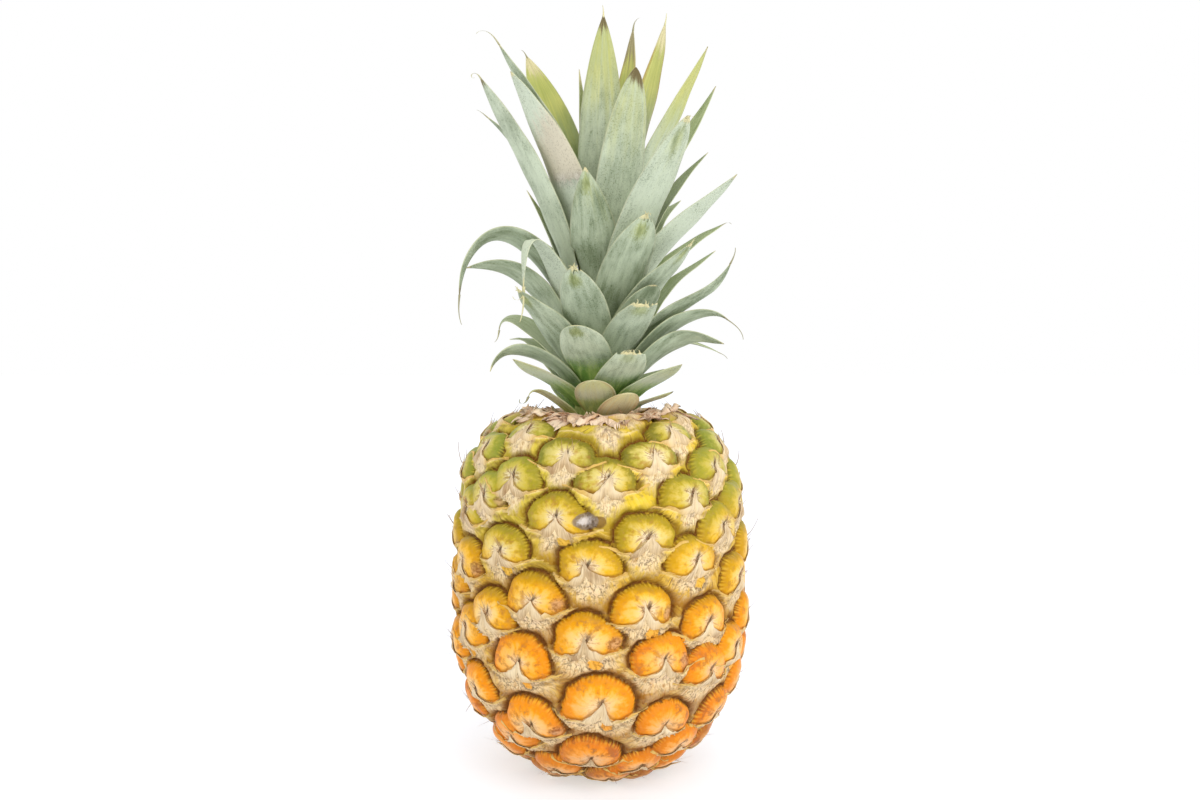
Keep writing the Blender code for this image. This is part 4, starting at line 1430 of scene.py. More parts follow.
@dataclass
class Collar:
    """Torn dry bracts around the foot of the crown.

    A row is its count of scraps, their foot radius, length and width, and how much they curl.
    """

    barrel: Barrel
    sheet: float = 0.3
    least_rise: float = 0.35
    rows: tuple[tuple[int, float, float, float, float], ...] = (
        (10, 25.0, 16.0, 15.0, 0.0), (11, 21.0, 13.5, 12.5, 0.05), (10, 16.0, 8.0, 10.0, 0.1),
    )  # fmt: skip

    def bed(self, radius: Array) -> Array:
        """Height of the fruit's top at a radius.

        Args:
            radius: distances from the axis.

        Returns:
            the heights.
        """
        rs, zs, arc = self.barrel.table()
        high = zs > self.barrel.waist + 20
        shoulder = list(zip(rs[high], zs[high]))
        rim = self.barrel.span()[1]
        shoulder = [(r, z) for r, z in shoulder if r >= float(np.interp(rim, arc, rs))]
        outline = np.array(sorted(self.barrel.hollow() + shoulder))
        return np.interp(radius, outline[:, 0], outline[:, 1])

    def all_scraps(self, dice: np.random.RandomState) -> list[Scrap]:
        """The placed scraps, and rows of smaller ones all round.

        Args:
            dice: source of the uneven sizes.

        Returns:
            the scraps, the placed ones first.
        """
        scraps = list(SCRAPS)
        for count, inner, reach, width, curl in self.rows:
            for k in range(count):
                turn = 360.0 * (k + dice.uniform(-0.35, 0.35)) / count
                beside = float(smooth((abs(math.sin(math.radians(turn))) - 0.5) / 0.3))
                lift = 0.4 + (curl + 0.35 * beside) * dice.uniform(1.0, 4.5)
                scraps.append(Scrap(
                    turn, inner, reach * dice.uniform(0.7, 1.15), width * dice.uniform(0.7, 1.15), lift,
                    curl * dice.uniform(0.0, 3.0), dice.normal(0, 1.5), dice.uniform(-0.4, 0.5),
                ))  # fmt: skip
        return scraps

    def build(self, material: bpy.types.Material) -> bpy.types.Object:
        """Lays the scraps, each a curled torn sheet.

        Args:
            material: the scraps' finish.

        Returns:
            the piece.
        """
        dice = np.random.RandomState(19)
        bm = bmesh.new()
        places, charts, seeds, thins, burns = [], [], [], [], []
        for number, scrap in enumerate(self.all_scraps(dice)):
            made = bmesh.ops.create_grid(bm, x_segments=12, y_segments=14, size=1.0)["verts"]
            x = np.array([v.co.x for v in made])
            s = (np.array([v.co.y for v in made]) + 1.0) / 2.0
            torn = 0.18 * wander(np.stack([x * 4.0, np.full_like(x, number * 5.0)], axis=1), 3.0, 31)
            edge = np.stack([s * 12.0, np.sign(x) * 9.0 + number * 7.0], axis=1)
            nicked = 1.0 + 0.10 * wander(edge, 4.0, 32)
            half = scrap.width / 2 * (1.0 - np.clip((s - 0.45) / 0.55, 0, 1) ** 1.7 * 0.75) * nicked
            away = scrap.foot + scrap.length * s * (1.0 + torn * s)
            turn = math.radians(scrap.turn) + (x * half + scrap.drift * s**2) / away
            flat = np.stack([x * half, away, np.full_like(x, number * 7.0)], axis=1)
            placed = 0.5 if number < len(SCRAPS) else 0.0
            buckle = (0.4 + placed) * wander(flat, 6.0, 41) * (0.3 + s)
            rise = 0.45 + placed * s + scrap.lift * s**2.2 + buckle
            rise = rise + 0.9 * x**2 * dice.uniform(-0.4, 0.9)
            away = away - scrap.roll * np.maximum(0.0, s - 0.4) ** 2 * 2.8
            height = self.bed(away) + np.maximum(rise, self.least_rise)
            places.append(np.stack([away * np.sin(turn), -away * np.cos(turn), height], axis=1))
            charts.append(np.stack([x * half * 1.5, -s * scrap.length], axis=1))
            seeds.append(np.full(len(x), dice.uniform()))
            thins.append(s**2)
            rim = np.maximum(np.abs(x), s) ** 8 * 0.5
            burns.append(np.clip(scrap.burn + rim + 0.25 * wander(flat, 5.0, 43), 0.0, 1.0))
        mesh = mesh_from(bm, "collar_scraps", material)
        marks = {name: np.concatenate(part) for name, part in (("seed", seeds), ("thin", thins), ("burn", burns))}
        lay_out(mesh, np.concatenate(places), "eye", np.concatenate(charts), marks)
        made = shown(mesh, "dry_bract", "collar")
        thicken(made, self.sheet)
        return made


# ---------------------------------------- crown


class Tip(Enum):
    """How a leaf ends: narrowing power, roundness, share of the taper kept, place of the widest part."""

    POINT = (1.5, 1.0, 1.0, 0.38)
    SLIM = (1.1, 1.0, 1.0, 0.30)
    BROAD = (2.0, 0.9, 1.0, 0.42)
    BLUNT = (2.4, 0.7, 1.0, 0.45)
    ROUND = (2.6, 0.55, 1.0, 0.45)
    CUT = (2.2, 0.75, 0.86, 0.40)
    TAIL = (0.9, 1.1, 1.0, 0.25)


@dataclass(frozen=True)
class Coat:
    """How a leaf is coloured and worn; shares of 0 to 1.

    Attributes:
        dry: share of the length that is dry at the tip.
        crisp: how brown the dry tip is.
        lime: yellow-green of the outer half.
        foot: share of the length that is fresh green at the root.
        shade: darkness all over.
        tan: dry cream all over.
        ash: share of the length that is ashen and pinkish from the tip down, behind a crumpled crease.
        fray: share of the length that is torn away at the tip.
        patch: olive patch under the tip.
        pale: paleness all over, partly waxy bloom and partly painted light on leaves that stand in more light.
        rust: brown along the edges.
    """

    dry: float = 0.05
    crisp: float = 0.5
    lime: float = 0.0
    foot: float = 0.22
    shade: float = 0.0
    tan: float = 0.0
    ash: float = 0.0
    fray: float = 0.0
    patch: float = 0.0
    pale: float = 0.0
    rust: float = 0.0


@dataclass(frozen=True)
class Blade:
    """A crown leaf.

    Attributes:
        name: where it sits.
        turn: heading in degrees.
        reach: distance of the tip from the axis.
        top: height of the tip.
        width: greatest width.
        arch: lean of the tip from upright in degrees.
        tip: how it ends.
        bow: how far the root's lean carries on, as a share of the chord.
        hang: how far the tip's lean reaches back, as a share of the chord.
        twist: turn of the tip about the leaf's own line in degrees.
        sway: sideways drift of the tip.
        wrap: greatest half width, as a share of the distance from the axis.
        coat: colour and wear.
    """

    name: str
    turn: float
    reach: float
    top: float
    width: float
    arch: float
    tip: Tip = Tip.POINT
    bow: float = 0.42
    hang: float = 0.34
    twist: float = 0.0
    sway: float = 0.0
    wrap: float = 0.7
    coat: Coat = Coat()


TAN = Coat(dry=0.10, crisp=0.15, tan=0.85, foot=0.1, lime=0.2)
TORN = Coat(dry=0.06, crisp=0.1, fray=0.05, patch=0.9, pale=0.12)
LIGHT = Coat(dry=0.05, pale=0.6)
BROWN = Coat(dry=0.14, crisp=0.35, lime=0.4)
GREENER = Coat(lime=0.35, foot=0.4)

BLADES = (
    Blade("front_low_right", 20, 32, 157, 16, 55, Tip.ROUND,
          coat=Coat(0.02, 0.2, 0.45, 0.3, tan=0.55, pale=0.35, rust=0.55)),
    Blade("back_01", 172, 34, 160, 19.5, 70, coat=TAN),
    Blade("left_low_curl", -62, 33, 154, 13, 160, bow=0.7, hang=0.3, twist=40,
          coat=Coat(0.1, 0.8, 0.6, 0.4, tan=0.3)),
    Blade("right_low", 60, 34, 157, 14, 62, twist=-20, coat=Coat(0.1, 0.8, 0.6, 0.4, pale=0.5)),
    Blade("back_02", -142, 36, 163, 20.5, 72, coat=GREENER),
    Blade("front_low_left", -5, 32, 162, 17, 50, Tip.ROUND,
          coat=Coat(0.02, 0.2, 0.6, 0.4, tan=0.22, pale=0.4, rust=0.45)),
    Blade("back_03", 132, 38, 165, 20.5, 72, coat=GREENER),
    Blade("right_low_broad", 50, 42, 168, 18, 58, twist=-20, coat=Coat(foot=0.45, lime=0.45, pale=0.45)),
    Blade("left_low_broad", -55, 42, 170, 18, 60, twist=20,
          coat=Coat(foot=0.45, lime=0.5, pale=0.45, rust=0.2)),
    Blade("back_04", 176, 42, 168, 21.5, 75),
    Blade("front_cut", 18, 40, 173, 19, 45, Tip.CUT,
          coat=Coat(0.08, 0.1, foot=0.45, fray=0.06, patch=0.5, pale=0.2)),
    Blade("back_06", -124, 48, 178, 21.5, 95, bow=0.55),
    Blade("back_05", 152, 46, 176, 21.5, 80),
    Blade("right_droop", 60, 56, 176, 18, 108, bow=0.6, twist=-42),
    Blade("left_droop", -60, 50, 165, 17, 165, bow=0.68, hang=0.3, twist=42, coat=Coat(0.10, 0.4, 0.2)),
    Blade("right_under", 118, 60, 172, 14, 112, bow=0.6, twist=20),
    Blade("front_round", -11, 48, 183, 20, 52, Tip.ROUND,
          coat=Coat(0.02, 0.1, foot=0.4, patch=0.9, pale=0.15)),
    Blade("left_curl", -112, 47, 181, 16, 178, bow=0.8, hang=0.28, twist=-35,
          coat=Coat(0.1, 0.6, pale=0.3)),
    Blade("right_dried", 66, 56, 185, 19, 130, bow=0.32, twist=-24, coat=Coat(0.12, 0.8, 0.15)),
    Blade("left_broad", -42, 47, 197, 20, 50, Tip.BROAD, coat=TORN),
    Blade("back_07", -156, 52, 190, 21.5, 90, bow=0.55),
    Blade("front_cut_right", 23, 45, 191, 18.5, 60, Tip.CUT, wrap=0.62,
          coat=Coat(0.08, 0.1, fray=0.05, patch=0.8, pale=0.2)),
    Blade("right_thin", 128, 66, 218, 14, 60, bow=0.55),
    Blade("front_frayed", -12, 48, 205, 20, 40, Tip.BLUNT, coat=TORN),
    Blade("right_upcurl", 62, 58, 208, 16, 25, Tip.SLIM, bow=0.46, hang=0.3, twist=-35),
    Blade("back_08", -176, 52, 206, 21.5, 85, bow=0.5),
    Blade("left_level", -68, 57, 206, 18, 105, bow=0.6, twist=45),
    Blade("front_dark", 36, 36, 199, 18, 38, Tip.ROUND, coat=Coat(0.03, 0.5, shade=0.15)),
    Blade("back_09", 158, 54, 216, 21.5, 75),
    Blade("left_hang", -42, 44, 197, 19, 182, Tip.TAIL, bow=1.3, hang=0.7, coat=Coat(0.1, 0.1, pale=0.8)),
    Blade("right_broken", 46, 49, 215, 18, 42, Tip.BROAD, coat=TORN),
    Blade("back_10", -132, 54, 226, 20.5, 80, bow=0.5),
    Blade("right_tip_curl", 112, 58, 228, 16, 62, twist=20),
    Blade("front_big", 23, 45, 225, 22, 36, Tip.BLUNT, coat=Coat(0.06, 0.1, 0.2, fray=0.05, patch=1.0)),
    Blade("left_ribbon", -62, 62, 194, 19, 178, Tip.SLIM, bow=1.15, hang=0.5, twist=55,
          coat=Coat(0.1, 0.8)),
    Blade("back_11", 136, 52, 240, 21.5, 62, wrap=0.6),
    Blade("right_lance", 58, 62, 241, 19, 50, twist=-20, coat=LIGHT),
    Blade("left_brown", -110, 33, 241, 15, 34, coat=BROWN),
    Blade("right_shade", 122, 56, 260, 18, 50, coat=Coat(shade=0.35, lime=0.2)),
    Blade("right_broad", 36, 56, 261, 20, 34, Tip.BLUNT,
          coat=Coat(0.05, 0.1, 0.25, fray=0.05, patch=0.7, pale=0.4)),
    Blade("left_tall", -68, 51, 281, 18, 32, Tip.BROAD, twist=25, wrap=0.46,
          coat=Coat(0.06, 0.7, pale=0.25)),
    Blade("back_12", 178, 46, 262, 22.5, 48),
    Blade("front_fold", -5, 32, 244, 21, 22, Tip.BROAD, sway=-3, wrap=0.5,
          coat=Coat(0.05, 0.3, 0.3, patch=0.9)),
    Blade("left_outer", -97, 48, 271, 16, 50, twist=28, wrap=0.5),
    Blade("right_back", 118, 57, 288, 18, 30, twist=15, coat=Coat(lime=0.3)),
    Blade("front_brown_tip", 24, 34, 282, 21, 14, Tip.BLUNT, wrap=0.48,
          coat=Coat(0.12, 0.9, 0.45, pale=0.25)),
    Blade("back_13", -148, 40, 276, 21.5, 36),
    Blade("left_pale", -46, 47.5, 280, 22, 42, Tip.BROAD, wrap=0.48,
          coat=Coat(0.04, 0.3, ash=0.53, pale=0.7)),
    Blade("right_slender", 66, 46.5, 293, 17, 28, twist=-25, coat=Coat(lime=0.85, foot=0.2, pale=0.4)),
    Blade("left_lime", -110, 33, 297, 26, 26, Tip.BROAD, wrap=0.48, twist=-52, coat=Coat(0.16, 0.4, 0.85)),
    Blade("inner_tan", 140, 22, 310, 15, 10, Tip.BROAD, wrap=0.62, coat=Coat(0.22, 0.6, 0.9, rust=0.5)),
    Blade("left_slender", -50, 51, 291, 18, 42, wrap=0.5, coat=Coat(lime=0.15)),
    Blade("right_yellow", 64, 29, 304, 16, 12, Tip.BROAD, twist=-28, wrap=0.62,
          coat=Coat(0.18, 0.4, 1.0, pale=0.2, rust=0.7)),
    Blade("inner_thin", -120, 10, 290, 13, 6, coat=BROWN),
    Blade("tallest", 8, 10, 308, 21, 3, Tip.BROAD, wrap=1.4, coat=Coat(0.12, 0.8, 0.7, pale=0.2)),
)  # fmt: skip


@dataclass(frozen=True)
class Wisp:
    """A thin end that carries on from a leaf.

    Its length, turn to the right in degrees, radius, brownness, and place across the leaf from -1 to 1.
    """

    leaf: str
    length: float
    curl: float
    radius: float = 0.45
    brown: float = 0.6
    at: float = 0.0


WISPS = (
    Wisp("left_slender", 11.0, -110.0), Wisp("left_tall", 7.0, -260.0, brown=0.5),
    Wisp("inner_tan", 6.0, 60.0, brown=0.9), Wisp("left_ribbon", 11.0, -25.0, brown=1.0),
    Wisp("left_hang", 13.0, 20.0, 0.7, 0.1), Wisp("left_hang", 8.0, 160.0, 0.5, 0.2),
    Wisp("right_dried", 10.0, 50.0, brown=0.9), Wisp("right_upcurl", 6.0, -30.0, brown=1.0),
    Wisp("right_under", 5.0, 30.0, brown=0.8), Wisp("left_curl", 5.0, 40.0, brown=0.6),
    Wisp("left_outer", 5.0, -20.0, brown=0.7), Wisp("right_yellow", 4.0, -10.0, brown=0.2),
    Wisp("tallest", 4.0, -15.0, brown=0.1), Wisp("left_low_curl", 6.0, 200.0, 0.6, 1.0),
    Wisp("right_tip_curl", 4.0, 80.0, brown=0.8), Wisp("left_lime", 4.0, -40.0, brown=0.9),
)  # fmt: skip


@dataclass
class Crown:
    """The leaves, each on its own place of the stem, from the lowest outer one to the heart."""

    stem_foot: float = 140.0
    stem_head: float = 205.0
    foot_radius: float = 12.0
    head_radius: float = 2.2
    clearance: float = 0.9
    first_rise: float = 4.6
    low_lean: float = 54.0
    top_lean: float = 7.0
    thickness: float = 0.7
    edge_thickness: float = 0.3
    least_half_width: float = 0.25
    sheath_end: float = 8.0
    sheath_fade: float = 30.0
    cup: float = 0.85
    keel_depth: float = 0.25
    wave_height: float = 0.22
    wave_pitch: float = 26.0
    along: int = 64
    across: int = 14
    torn_wisps: int = 6
    wisp_steps: int = 12

    def root(self, index: int) -> tuple[float, float, float]:
        """Radius, height and lean in radians where a leaf leaves the stem.

        Args:
            index: number of the leaf.

        Returns:
            the radius, height and lean.
        """
        share = index / (len(BLADES) - 1)
        height = self.stem_foot + self.first_rise + 40.0 * share + 16.0 * share**2
        lean = self.low_lean - (self.low_lean - self.top_lean) * share**0.8
        up = (height - self.stem_foot) / (self.stem_head - self.stem_foot)
        radius = self.foot_radius + (self.head_radius - self.foot_radius) * up
        return radius + self.clearance, height, math.radians(lean)

    def surface(
        self, index: int, blade: Blade, s: Array, a: Array
    ) -> tuple[Array, Array, Array]:
        """Middle surface of a leaf.

        Args:
            index: number of the leaf.
            blade: its shape.
            s: share of the length, 0 at the root.
            a: share of the half width, -1 to 1.

        Returns:
            places, half widths and run along the leaf, in millimetres.
        """
        root_radius, root_height, lean0 = self.root(index)
        lean1 = math.radians(blade.arch)
        start, end = np.array([root_radius, root_height]), np.array([blade.reach, blade.top])
        chord = float(np.hypot(*(end - start)))
        knee = start + blade.bow * chord * np.array([math.sin(lean0), math.cos(lean0)])
        wrist = end - blade.hang * chord * np.array([math.sin(lean1), math.cos(lean1)])
        u = np.linspace(0.0, 1.0, 201)[:, None]
        line = (1 - u) ** 3 * start + 3 * (1 - u) ** 2 * u * knee + 3 * (1 - u) * u**2 * wrist + u**3 * end
        arc = np.concatenate([[0.0], np.cumsum(np.hypot(*np.diff(line, axis=0).T))])
        share = np.clip(s, 0.0, 1.0) ** 0.9
        run = share * arc[-1]
        radius, height = np.interp(run, arc, line[:, 0]), np.interp(run, arc, line[:, 1])
        way = np.gradient(line, axis=0)
        lean = np.interp(run, arc, np.unwrap(np.arctan2(way[:, 0], way[:, 1])))

        narrowing, roundness, kept, widest = blade.tip.value
        rise = 0.62 + 0.38 * np.sin(np.pi / 2 * np.minimum(share / widest, 1.0))
        past = np.clip((share * kept - widest) / (1.0 - widest), 0.0, 1.0)
        taper = (1.0 - past**narrowing) ** roundness
        half = np.maximum(blade.width / 2 * rise * taper, self.least_half_width)
        half = np.minimum(half, blade.wrap * radius + 60.0 * smooth((radius - 16.0) / 14.0))

        heading = math.radians(blade.turn)
        out = np.array([[math.sin(heading), -math.cos(heading), 0.0]])
        side = np.array([[math.cos(heading), math.sin(heading), 0.0]])
        up = np.array([[0.0, 0.0, 1.0]])
        v = a * half
        cos, sin = np.cos(lean)[:, None], np.sin(lean)[:, None]
        inward = -out * cos + up * sin
        roll = (math.radians(blade.twist) * share**1.5)[:, None]
        flat = side * np.cos(roll) + inward * np.sin(roll)
        inward = inward * np.cos(roll) - side * np.sin(roll)
        free = smooth((run - self.sheath_end) / self.sheath_fade)
        bend = (1 - free) * radius / np.maximum(np.cos(lean), 0.35) + free * blade.width * self.cup
        middle = out * radius[:, None] + up * height[:, None]
        opened = middle + flat * (bend * np.sin(v / bend))[:, None]
        opened = opened + inward * (bend * (1 - np.cos(v / bend)))[:, None]
        around = heading + v / radius
        sheath = np.stack([radius * np.sin(around), -radius * np.cos(around), height], axis=1)
        free = free[:, None]
        place = sheath * (1 - free) + opened * free + side * (blade.sway * share**2)[:, None]
        return place, half, run

    def build_leaf(self, index: int, blade: Blade, material: bpy.types.Material) -> bpy.types.Object:
        """One leaf with its wear, in place of its solid.

        Args:
            index: number of the leaf.
            blade: its shape.
            material: the leaf finish.

        Returns:
            the piece.
        """
        coat = blade.coat
        bm = bmesh.new()
        bmesh.ops.create_grid(bm, x_segments=self.across, y_segments=self.along, size=1.0)
        copy = bmesh.ops.duplicate(bm, geom=bm.verts[:] + bm.edges[:] + bm.faces[:])["geom"]
        bmesh.ops.translate(bm, verts=[v for v in copy if isinstance(v, bmesh.types.BMVert)], vec=(0, 0, 0.1))
        bmesh.ops.reverse_faces(bm, faces=[f for f in copy if isinstance(f, bmesh.types.BMFace)])
        bmesh.ops.bridge_loops(bm, edges=[e for e in bm.edges if e.is_boundary])
        a, s, inner = np.array([v.co for v in bm.verts]).T
        s, inner = (s + 1.0) / 2.0, inner * 10.0
        edge = np.stack([a * 3.0, np.full_like(a, index * 7.0)], axis=1)
        share = s
        if coat.fray:
            jag = wander(edge, 1.1, 51) * 0.5 + 0.5 * wander(edge, 2.6, 52)
            s = s * (1.0 - coat.fray * (0.5 + jag) * s**6)
        place, half, run = self.surface(index, blade, s, a)
        ahead, _, _ = self.surface(index, blade, s + 0.004, a)
        beside, _, _ = self.surface(index, blade, s, a + 0.03)
        normal = np.cross(beside - place, ahead - place)
        normal /= np.maximum(np.linalg.norm(normal, axis=1), 1e-9)[:, None]
        flat = np.stack([a * half, run, np.full_like(a, index * 11.0)], axis=1)
        keel = -self.keel_depth * np.exp(-((a / 0.16) ** 2))
        ridge = keel + self.wave_height * wander(flat, self.wave_pitch, 61)
        wide = smooth(half / 3.0)
        free = smooth(run / self.sheath_fade) * wide
        thick = self.edge_thickness + (self.thickness - self.edge_thickness) * (1.0 - a**2) * wide
        place = place + normal * (ridge * free + thick * (0.5 - inner))[:, None]
        mesh = mesh_from(bm, f"blade_{index + 1:02d}_{blade.name}", material)
        dry = coat.dry * (1.0 + 0.25 * wander(edge, 2.0, 53))
        crease = s - 1.0 + coat.ash
        marks = {
            "side": a,
            "share": share,
            "inner": inner,
            "seed": (index * GOLDEN_SHARE) % 1.0,
            "dry": smooth((s - 1.0 + dry) / np.maximum(dry * 0.8, 0.01)),
            "crisp": coat.crisp,
            "lime": coat.lime * (0.25 + 0.75 * smooth((s - 0.45) / 0.4)),
            "foot": smooth(1.0 - s / max(coat.foot * 1.8, 0.01)) * min(1.0, coat.foot * 3),
            "shade": coat.shade,
            "tan": coat.tan,
            "ash": smooth(crease / 0.03) * (1.0 - smooth((crease - 0.12) / 0.34)) * bool(coat.ash),
            "crease": smooth(1.0 - np.abs(crease - 0.02) / 0.05) * bool(coat.ash),
            "patch": coat.patch,
            "pale": coat.pale,
            "rust": coat.rust,
        }
        lay_out(mesh, place, "blade", np.stack([a * half, run], axis=1), marks)
        return shown(mesh, "leaf_skin", f"leaf_{index + 1:02d}_{blade.name}")

    def build_wisps(self, material: bpy.types.Material) -> bpy.types.Object:
        """Thin dry ends that carry on from leaf tips, and shreds on the torn ones.

        Args:
            material: the leaf finish.

        Returns:
            the piece.
        """
        dice = np.random.RandomState(23)
        bm = bmesh.new()
        browns = []
        for index, blade in enumerate(BLADES):
            wisps = [w for w in WISPS if w.leaf == blade.name]
            if blade.coat.fray:
                wisps += [
                    Wisp(blade.name, dice.uniform(1.5, 4.0), dice.normal(0, 150), dice.uniform(0.3, 0.55),
                         dice.uniform(0.0, 0.3), dice.uniform(-0.75, 0.75))
                    for _ in range(self.torn_wisps)
                ]  # fmt: skip
            for wisp in wisps:
                at = np.array([wisp.at])
                kept = 1.0 - (0.5 * blade.coat.fray if blade.coat.fray else 0.004)
                start = self.surface(index, blade, np.array([kept]), at)[0][0]
                back = self.surface(index, blade, np.array([kept - 0.05]), at)[0][0]
                way = (start - back) / np.linalg.norm(start - back)
                first = len(bm.verts)
                path = [start - way * 0.8, start]
                steps = self.wisp_steps
                for k in range(steps):
                    bend = math.radians(wisp.curl) * (k + 0.5) / steps**2 * 2.0
                    cos, sin = math.cos(bend), math.sin(bend)
                    way = np.array([way[0] * cos + way[2] * sin, way[1], way[2] * cos - way[0] * sin])
                    path.append(path[-1] + way * wisp.length / steps)
                tube(bm, np.array(path), wisp.radius, 0.9)
                browns += [wisp.brown] * (len(bm.verts) - first)
        bmesh.ops.recalc_face_normals(bm, faces=bm.faces)
        mesh = mesh_from(bm, "leaf_wisps", material)
        places = coordinates(mesh)
        marks = {"dry": 1.0, "crisp": np.array(browns), "side": places[:, 0] * 0.3}
        lay_out(mesh, places, "blade", places[:, [0, 2]], marks)
        return shown(mesh, "leaf_skin")


# ---------------------------------------- mesh helpers


def mesh_from(bm: bmesh.types.BMesh, name: str, material: bpy.types.Material) -> bpy.types.Mesh:
    """Turns a bmesh into a smooth-shaded mesh with its material.

    Args:
        bm: the shape, freed afterwards.
        name: name of the mesh.
        material: its material.

    Returns:
        the mesh.
    """
    mesh = bpy.data.meshes.new(name)
    bm.to_mesh(mesh)
    bm.free()
    mesh.materials.append(material)
    mesh.polygons.foreach_set("use_smooth", [True] * len(mesh.polygons))
    return mesh


def coordinates(mesh: bpy.types.Mesh) -> Array:
    """Places of a mesh's vertices.

    Args:
        mesh: any mesh.

    Returns:
        (n, 3) places in the mesh's own units.
    """
    co = np.zeros(len(mesh.vertices) * 3)
    mesh.vertices.foreach_get("co", co)
    return co.reshape(-1, 3)


def paint(mesh: bpy.types.Mesh, name: str, values: Array | float) -> None:
    """Writes one number a vertex for the materials to read."""
    layer = mesh.attributes.new(name, "FLOAT", "POINT")
    layer.data.foreach_set("value", np.broadcast_to(values, len(mesh.vertices)).astype(np.float32))


def corner_vertices(mesh: bpy.types.Mesh) -> Array:
    """Index of the vertex at each face corner."""
    corners = np.zeros(len(mesh.loops), int)
    mesh.loops.foreach_get("vertex_index", corners)
    return corners


def chart(mesh: bpy.types.Mesh, name: str, corners: Array) -> None:
    """Writes a UV map from one flat place a face corner, in millimetres."""
    layer = mesh.uv_layers.new(name=name)
    layer.data.foreach_set("uv", (corners / CHART_UNIT).ravel().astype(np.float32))


def lay_out(
    mesh: bpy.types.Mesh, places: Array, map_name: str, flat: Array, marks: dict[str, Array | float]
) -> None:
    """Puts a mesh in place and gives it what its material reads.

    Args:
        mesh: mesh that receives it all.
        places: (n, 3) places in millimetres.
        map_name: name of its UV map.
        flat: (n, 2) places on that map in millimetres.
        marks: painted numbers by name.
    """
    mesh.vertices.foreach_set("co", (places * MM).ravel())
    chart(mesh, map_name, flat[corner_vertices(mesh)])
    for name, values in marks.items():
        paint(mesh, name, values)


def tube(bm: bmesh.types.BMesh, path: Array, radius: float, taper: float) -> None:
    """Pulls a thin four-sided end along a path.

    Args:
        bm: mesh that receives it.
        path: (n, 3) places in millimetres.
        radius: radius at its root.
        taper: share of the radius that each step keeps.
    """
    ring = bmesh.ops.create_circle(bm, cap_ends=True, segments=4, radius=radius)["verts"]
    bmesh.ops.translate(bm, verts=ring, vec=path[0])
    for before, after in zip(path, path[1:]):
        edges = {e for v in ring for e in v.link_edges if e.other_vert(v) in ring}
        made = bmesh.ops.extrude_edge_only(bm, edges=list(edges))["geom"]
        ring = [v for v in made if isinstance(v, bmesh.types.BMVert)]
        bmesh.ops.translate(bm, verts=ring, vec=after - before)
        centre = sum((v.co for v in ring), ring[0].co * 0) / len(ring)
        for vert in ring:
            vert.co = centre + (vert.co - centre) * taper
    bmesh.ops.contextual_create(bm, geom=ring)


def shown(mesh: bpy.types.Mesh, slot: str, *nodes: str) -> bpy.types.Object:
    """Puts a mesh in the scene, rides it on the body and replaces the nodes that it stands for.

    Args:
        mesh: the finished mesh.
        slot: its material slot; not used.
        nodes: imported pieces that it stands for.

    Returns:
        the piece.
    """
    mesh.update()
    piece = bpy.data.objects.new(mesh.name, mesh)
    bpy.context.scene.collection.objects.link(piece)
    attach(piece, BODY)
    if nodes:
        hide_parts(*nodes)
    LOG.info("%s: %d faces", piece.name, len(mesh.polygons))
    return piece


def thicken(piece: bpy.types.Object, thickness: float) -> None:
    """Gives a sheet its thickness in millimetres.

    Args:
        piece: the sheet.
        thickness: its thickness.
    """
    shell = piece.modifiers.new("sheet", "SOLIDIFY")
    shell.thickness = thickness * MM
    shell.offset = 0.0


# ---------------------------------------- studio


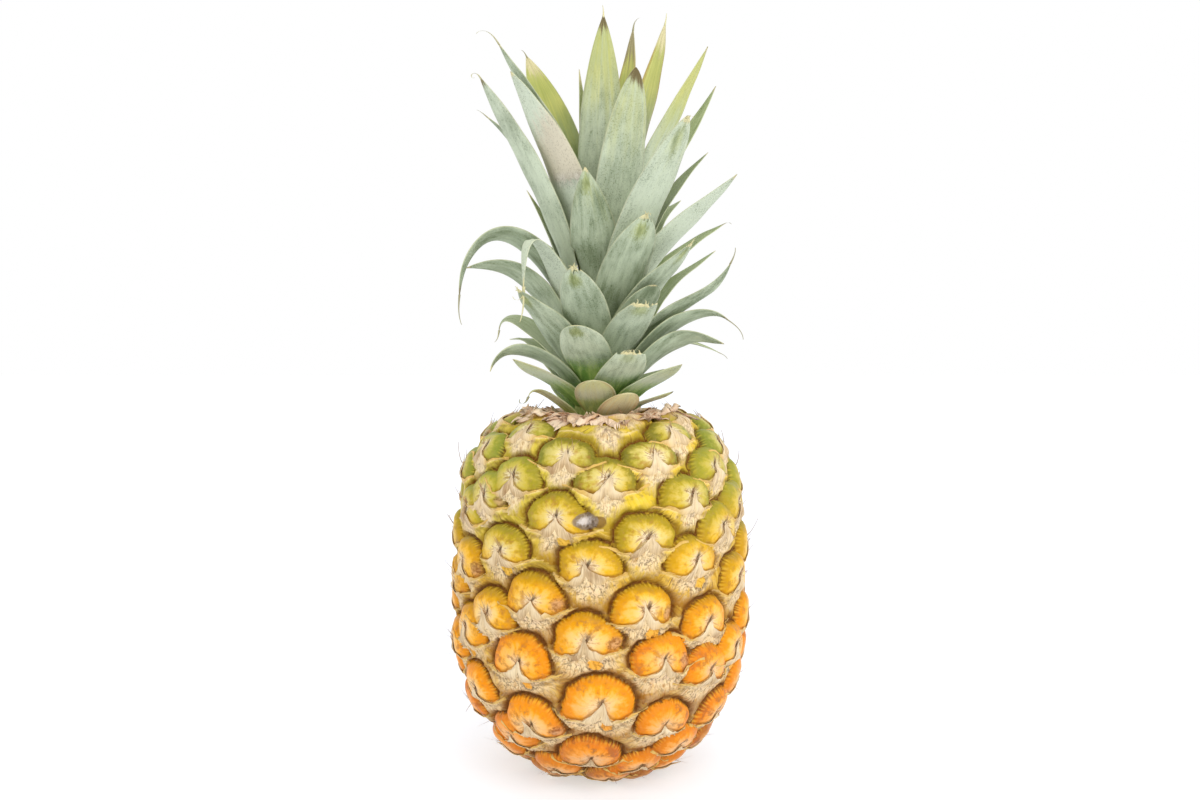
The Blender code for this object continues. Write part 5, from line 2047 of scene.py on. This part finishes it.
@dataclass(frozen=True)
class Studio:
    """White sweep, soft light all round with a broad key, and the camera; lengths in metres, angles in degrees."""

    camera_distance: float = 0.469
    camera_height: float = 0.1754
    camera_dip: float = 2.77
    lens: float = 33.81
    sensor: float = 36.0
    near_clip: float = 0.01
    sky: float = 1.0
    key: float = 4.3
    fill_share: float = 0.3
    lamp_side: float = 0.8
    floor_reach: float = 6.0
    floor_glow: float = 0.48
    floor_tint: Colour = (0.56, 0.60, 0.66, 1.0)
    white: Colour = (1.0, 1.0, 1.0, 1.0)
    target_height: float = 0.12

    def build(self) -> None:
        """Sets floor, light and camera."""
        scene = bpy.context.scene
        scene.view_settings.view_transform = "Standard"
        world = bpy.data.worlds.new("studio")
        scene.world = world
        world.use_nodes = True
        sky = world.node_tree.nodes["Background"].inputs
        sky["Color"].default_value = self.white
        sky["Strength"].default_value = self.sky

        bm = bmesh.new()
        bmesh.ops.create_grid(bm, x_segments=2, y_segments=2, size=self.floor_reach)
        mesh = bpy.data.meshes.new("floor")
        bm.to_mesh(mesh)
        bm.free()
        floor = bpy.data.objects.new("floor", mesh)
        scene.collection.objects.link(floor)
        sheet = Graph("floor_white", Roughness=0.9)
        sheet.shader.inputs["Base Color"].default_value = self.floor_tint
        sheet.shader.inputs["Emission Color"].default_value = self.white
        sheet.shader.inputs["Emission Strength"].default_value = self.floor_glow
        mesh.materials.append(sheet.material)

        self.lamp("key", (0.3, -0.92, 0.9), self.key)
        self.lamp("fill", (0.9, -0.5, 0.45), self.key * self.fill_share)

        view = bpy.data.cameras.new("camera")
        view.lens = self.lens
        view.sensor_width = self.sensor
        view.sensor_fit = "HORIZONTAL"
        view.clip_start = self.near_clip
        camera = bpy.data.objects.new("camera", view)
        camera.location = (0.0, -self.camera_distance, self.camera_height)
        camera.rotation_euler = (math.radians(90.0 - self.camera_dip), 0.0, 0.0)
        scene.collection.objects.link(camera)
        scene.camera = camera

    def lamp(self, name: str, place: tuple[float, float, float], power: float) -> None:
        """Adds a square soft light that points at the middle of the fruit.

        Args:
            name: its name.
            place: where it hangs, in metres.
            power: its power in watts.
        """
        light = bpy.data.lights.new(name, "AREA")
        light.energy = power
        light.size = self.lamp_side
        made = bpy.data.objects.new(name, light)
        made.location = place
        x, y, z = place[0], place[1], place[2] - self.target_height
        made.rotation_euler = (math.atan2(math.hypot(x, y), z), 0.0, math.atan2(x, -y))
        bpy.context.scene.collection.objects.link(made)


def dress_nodes(nodes: dict[str, bpy.types.Object]) -> None:
    """Gives the solids that stay their finishes.

    Args:
        nodes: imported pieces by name.
    """
    wood = WoodFinish("stalk_fibre", tone(206, 178, 120), tone(146, 112, 62)).material()
    pith = WoodFinish("crown_pith", tone(196, 200, 130), tone(140, 150, 70)).material()
    for name, slot, material in (("stalk_stub", "stalk_fibre", wood), ("crown_stem", "crown_pith", pith)):
        piece = nodes[name]
        piece.data.materials.clear()
        piece.data.materials.append(material)


def main() -> None:
    """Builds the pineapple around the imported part."""
    logging.basicConfig(level=logging.INFO)
    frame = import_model()
    Studio().build()
    dress_nodes(frame["nodes"])

    rind = RindFinish().material()
    husk = HuskFinish("dry_bract", tone(236, 208, 158), tone(160, 122, 76), tone(224, 182, 90)).material()
    scrap = HuskFinish("dry_scrap", tone(252, 226, 200), tone(206, 160, 124), tone(226, 184, 138)).material()
    leaf = LeafFinish().material()

    barrel = Barrel()
    fruit = Fruit(Eyes(barrel))
    fruit.build_skin(rind)
    fruit.build_bracts(husk)
    fruit.build_spines(husk)
    Collar(barrel).build(scrap)
    crown = Crown()
    for index, blade in enumerate(BLADES):
        crown.build_leaf(index, blade, leaf)
    crown.build_wisps(leaf)


if __name__ == "__main__":
    main()
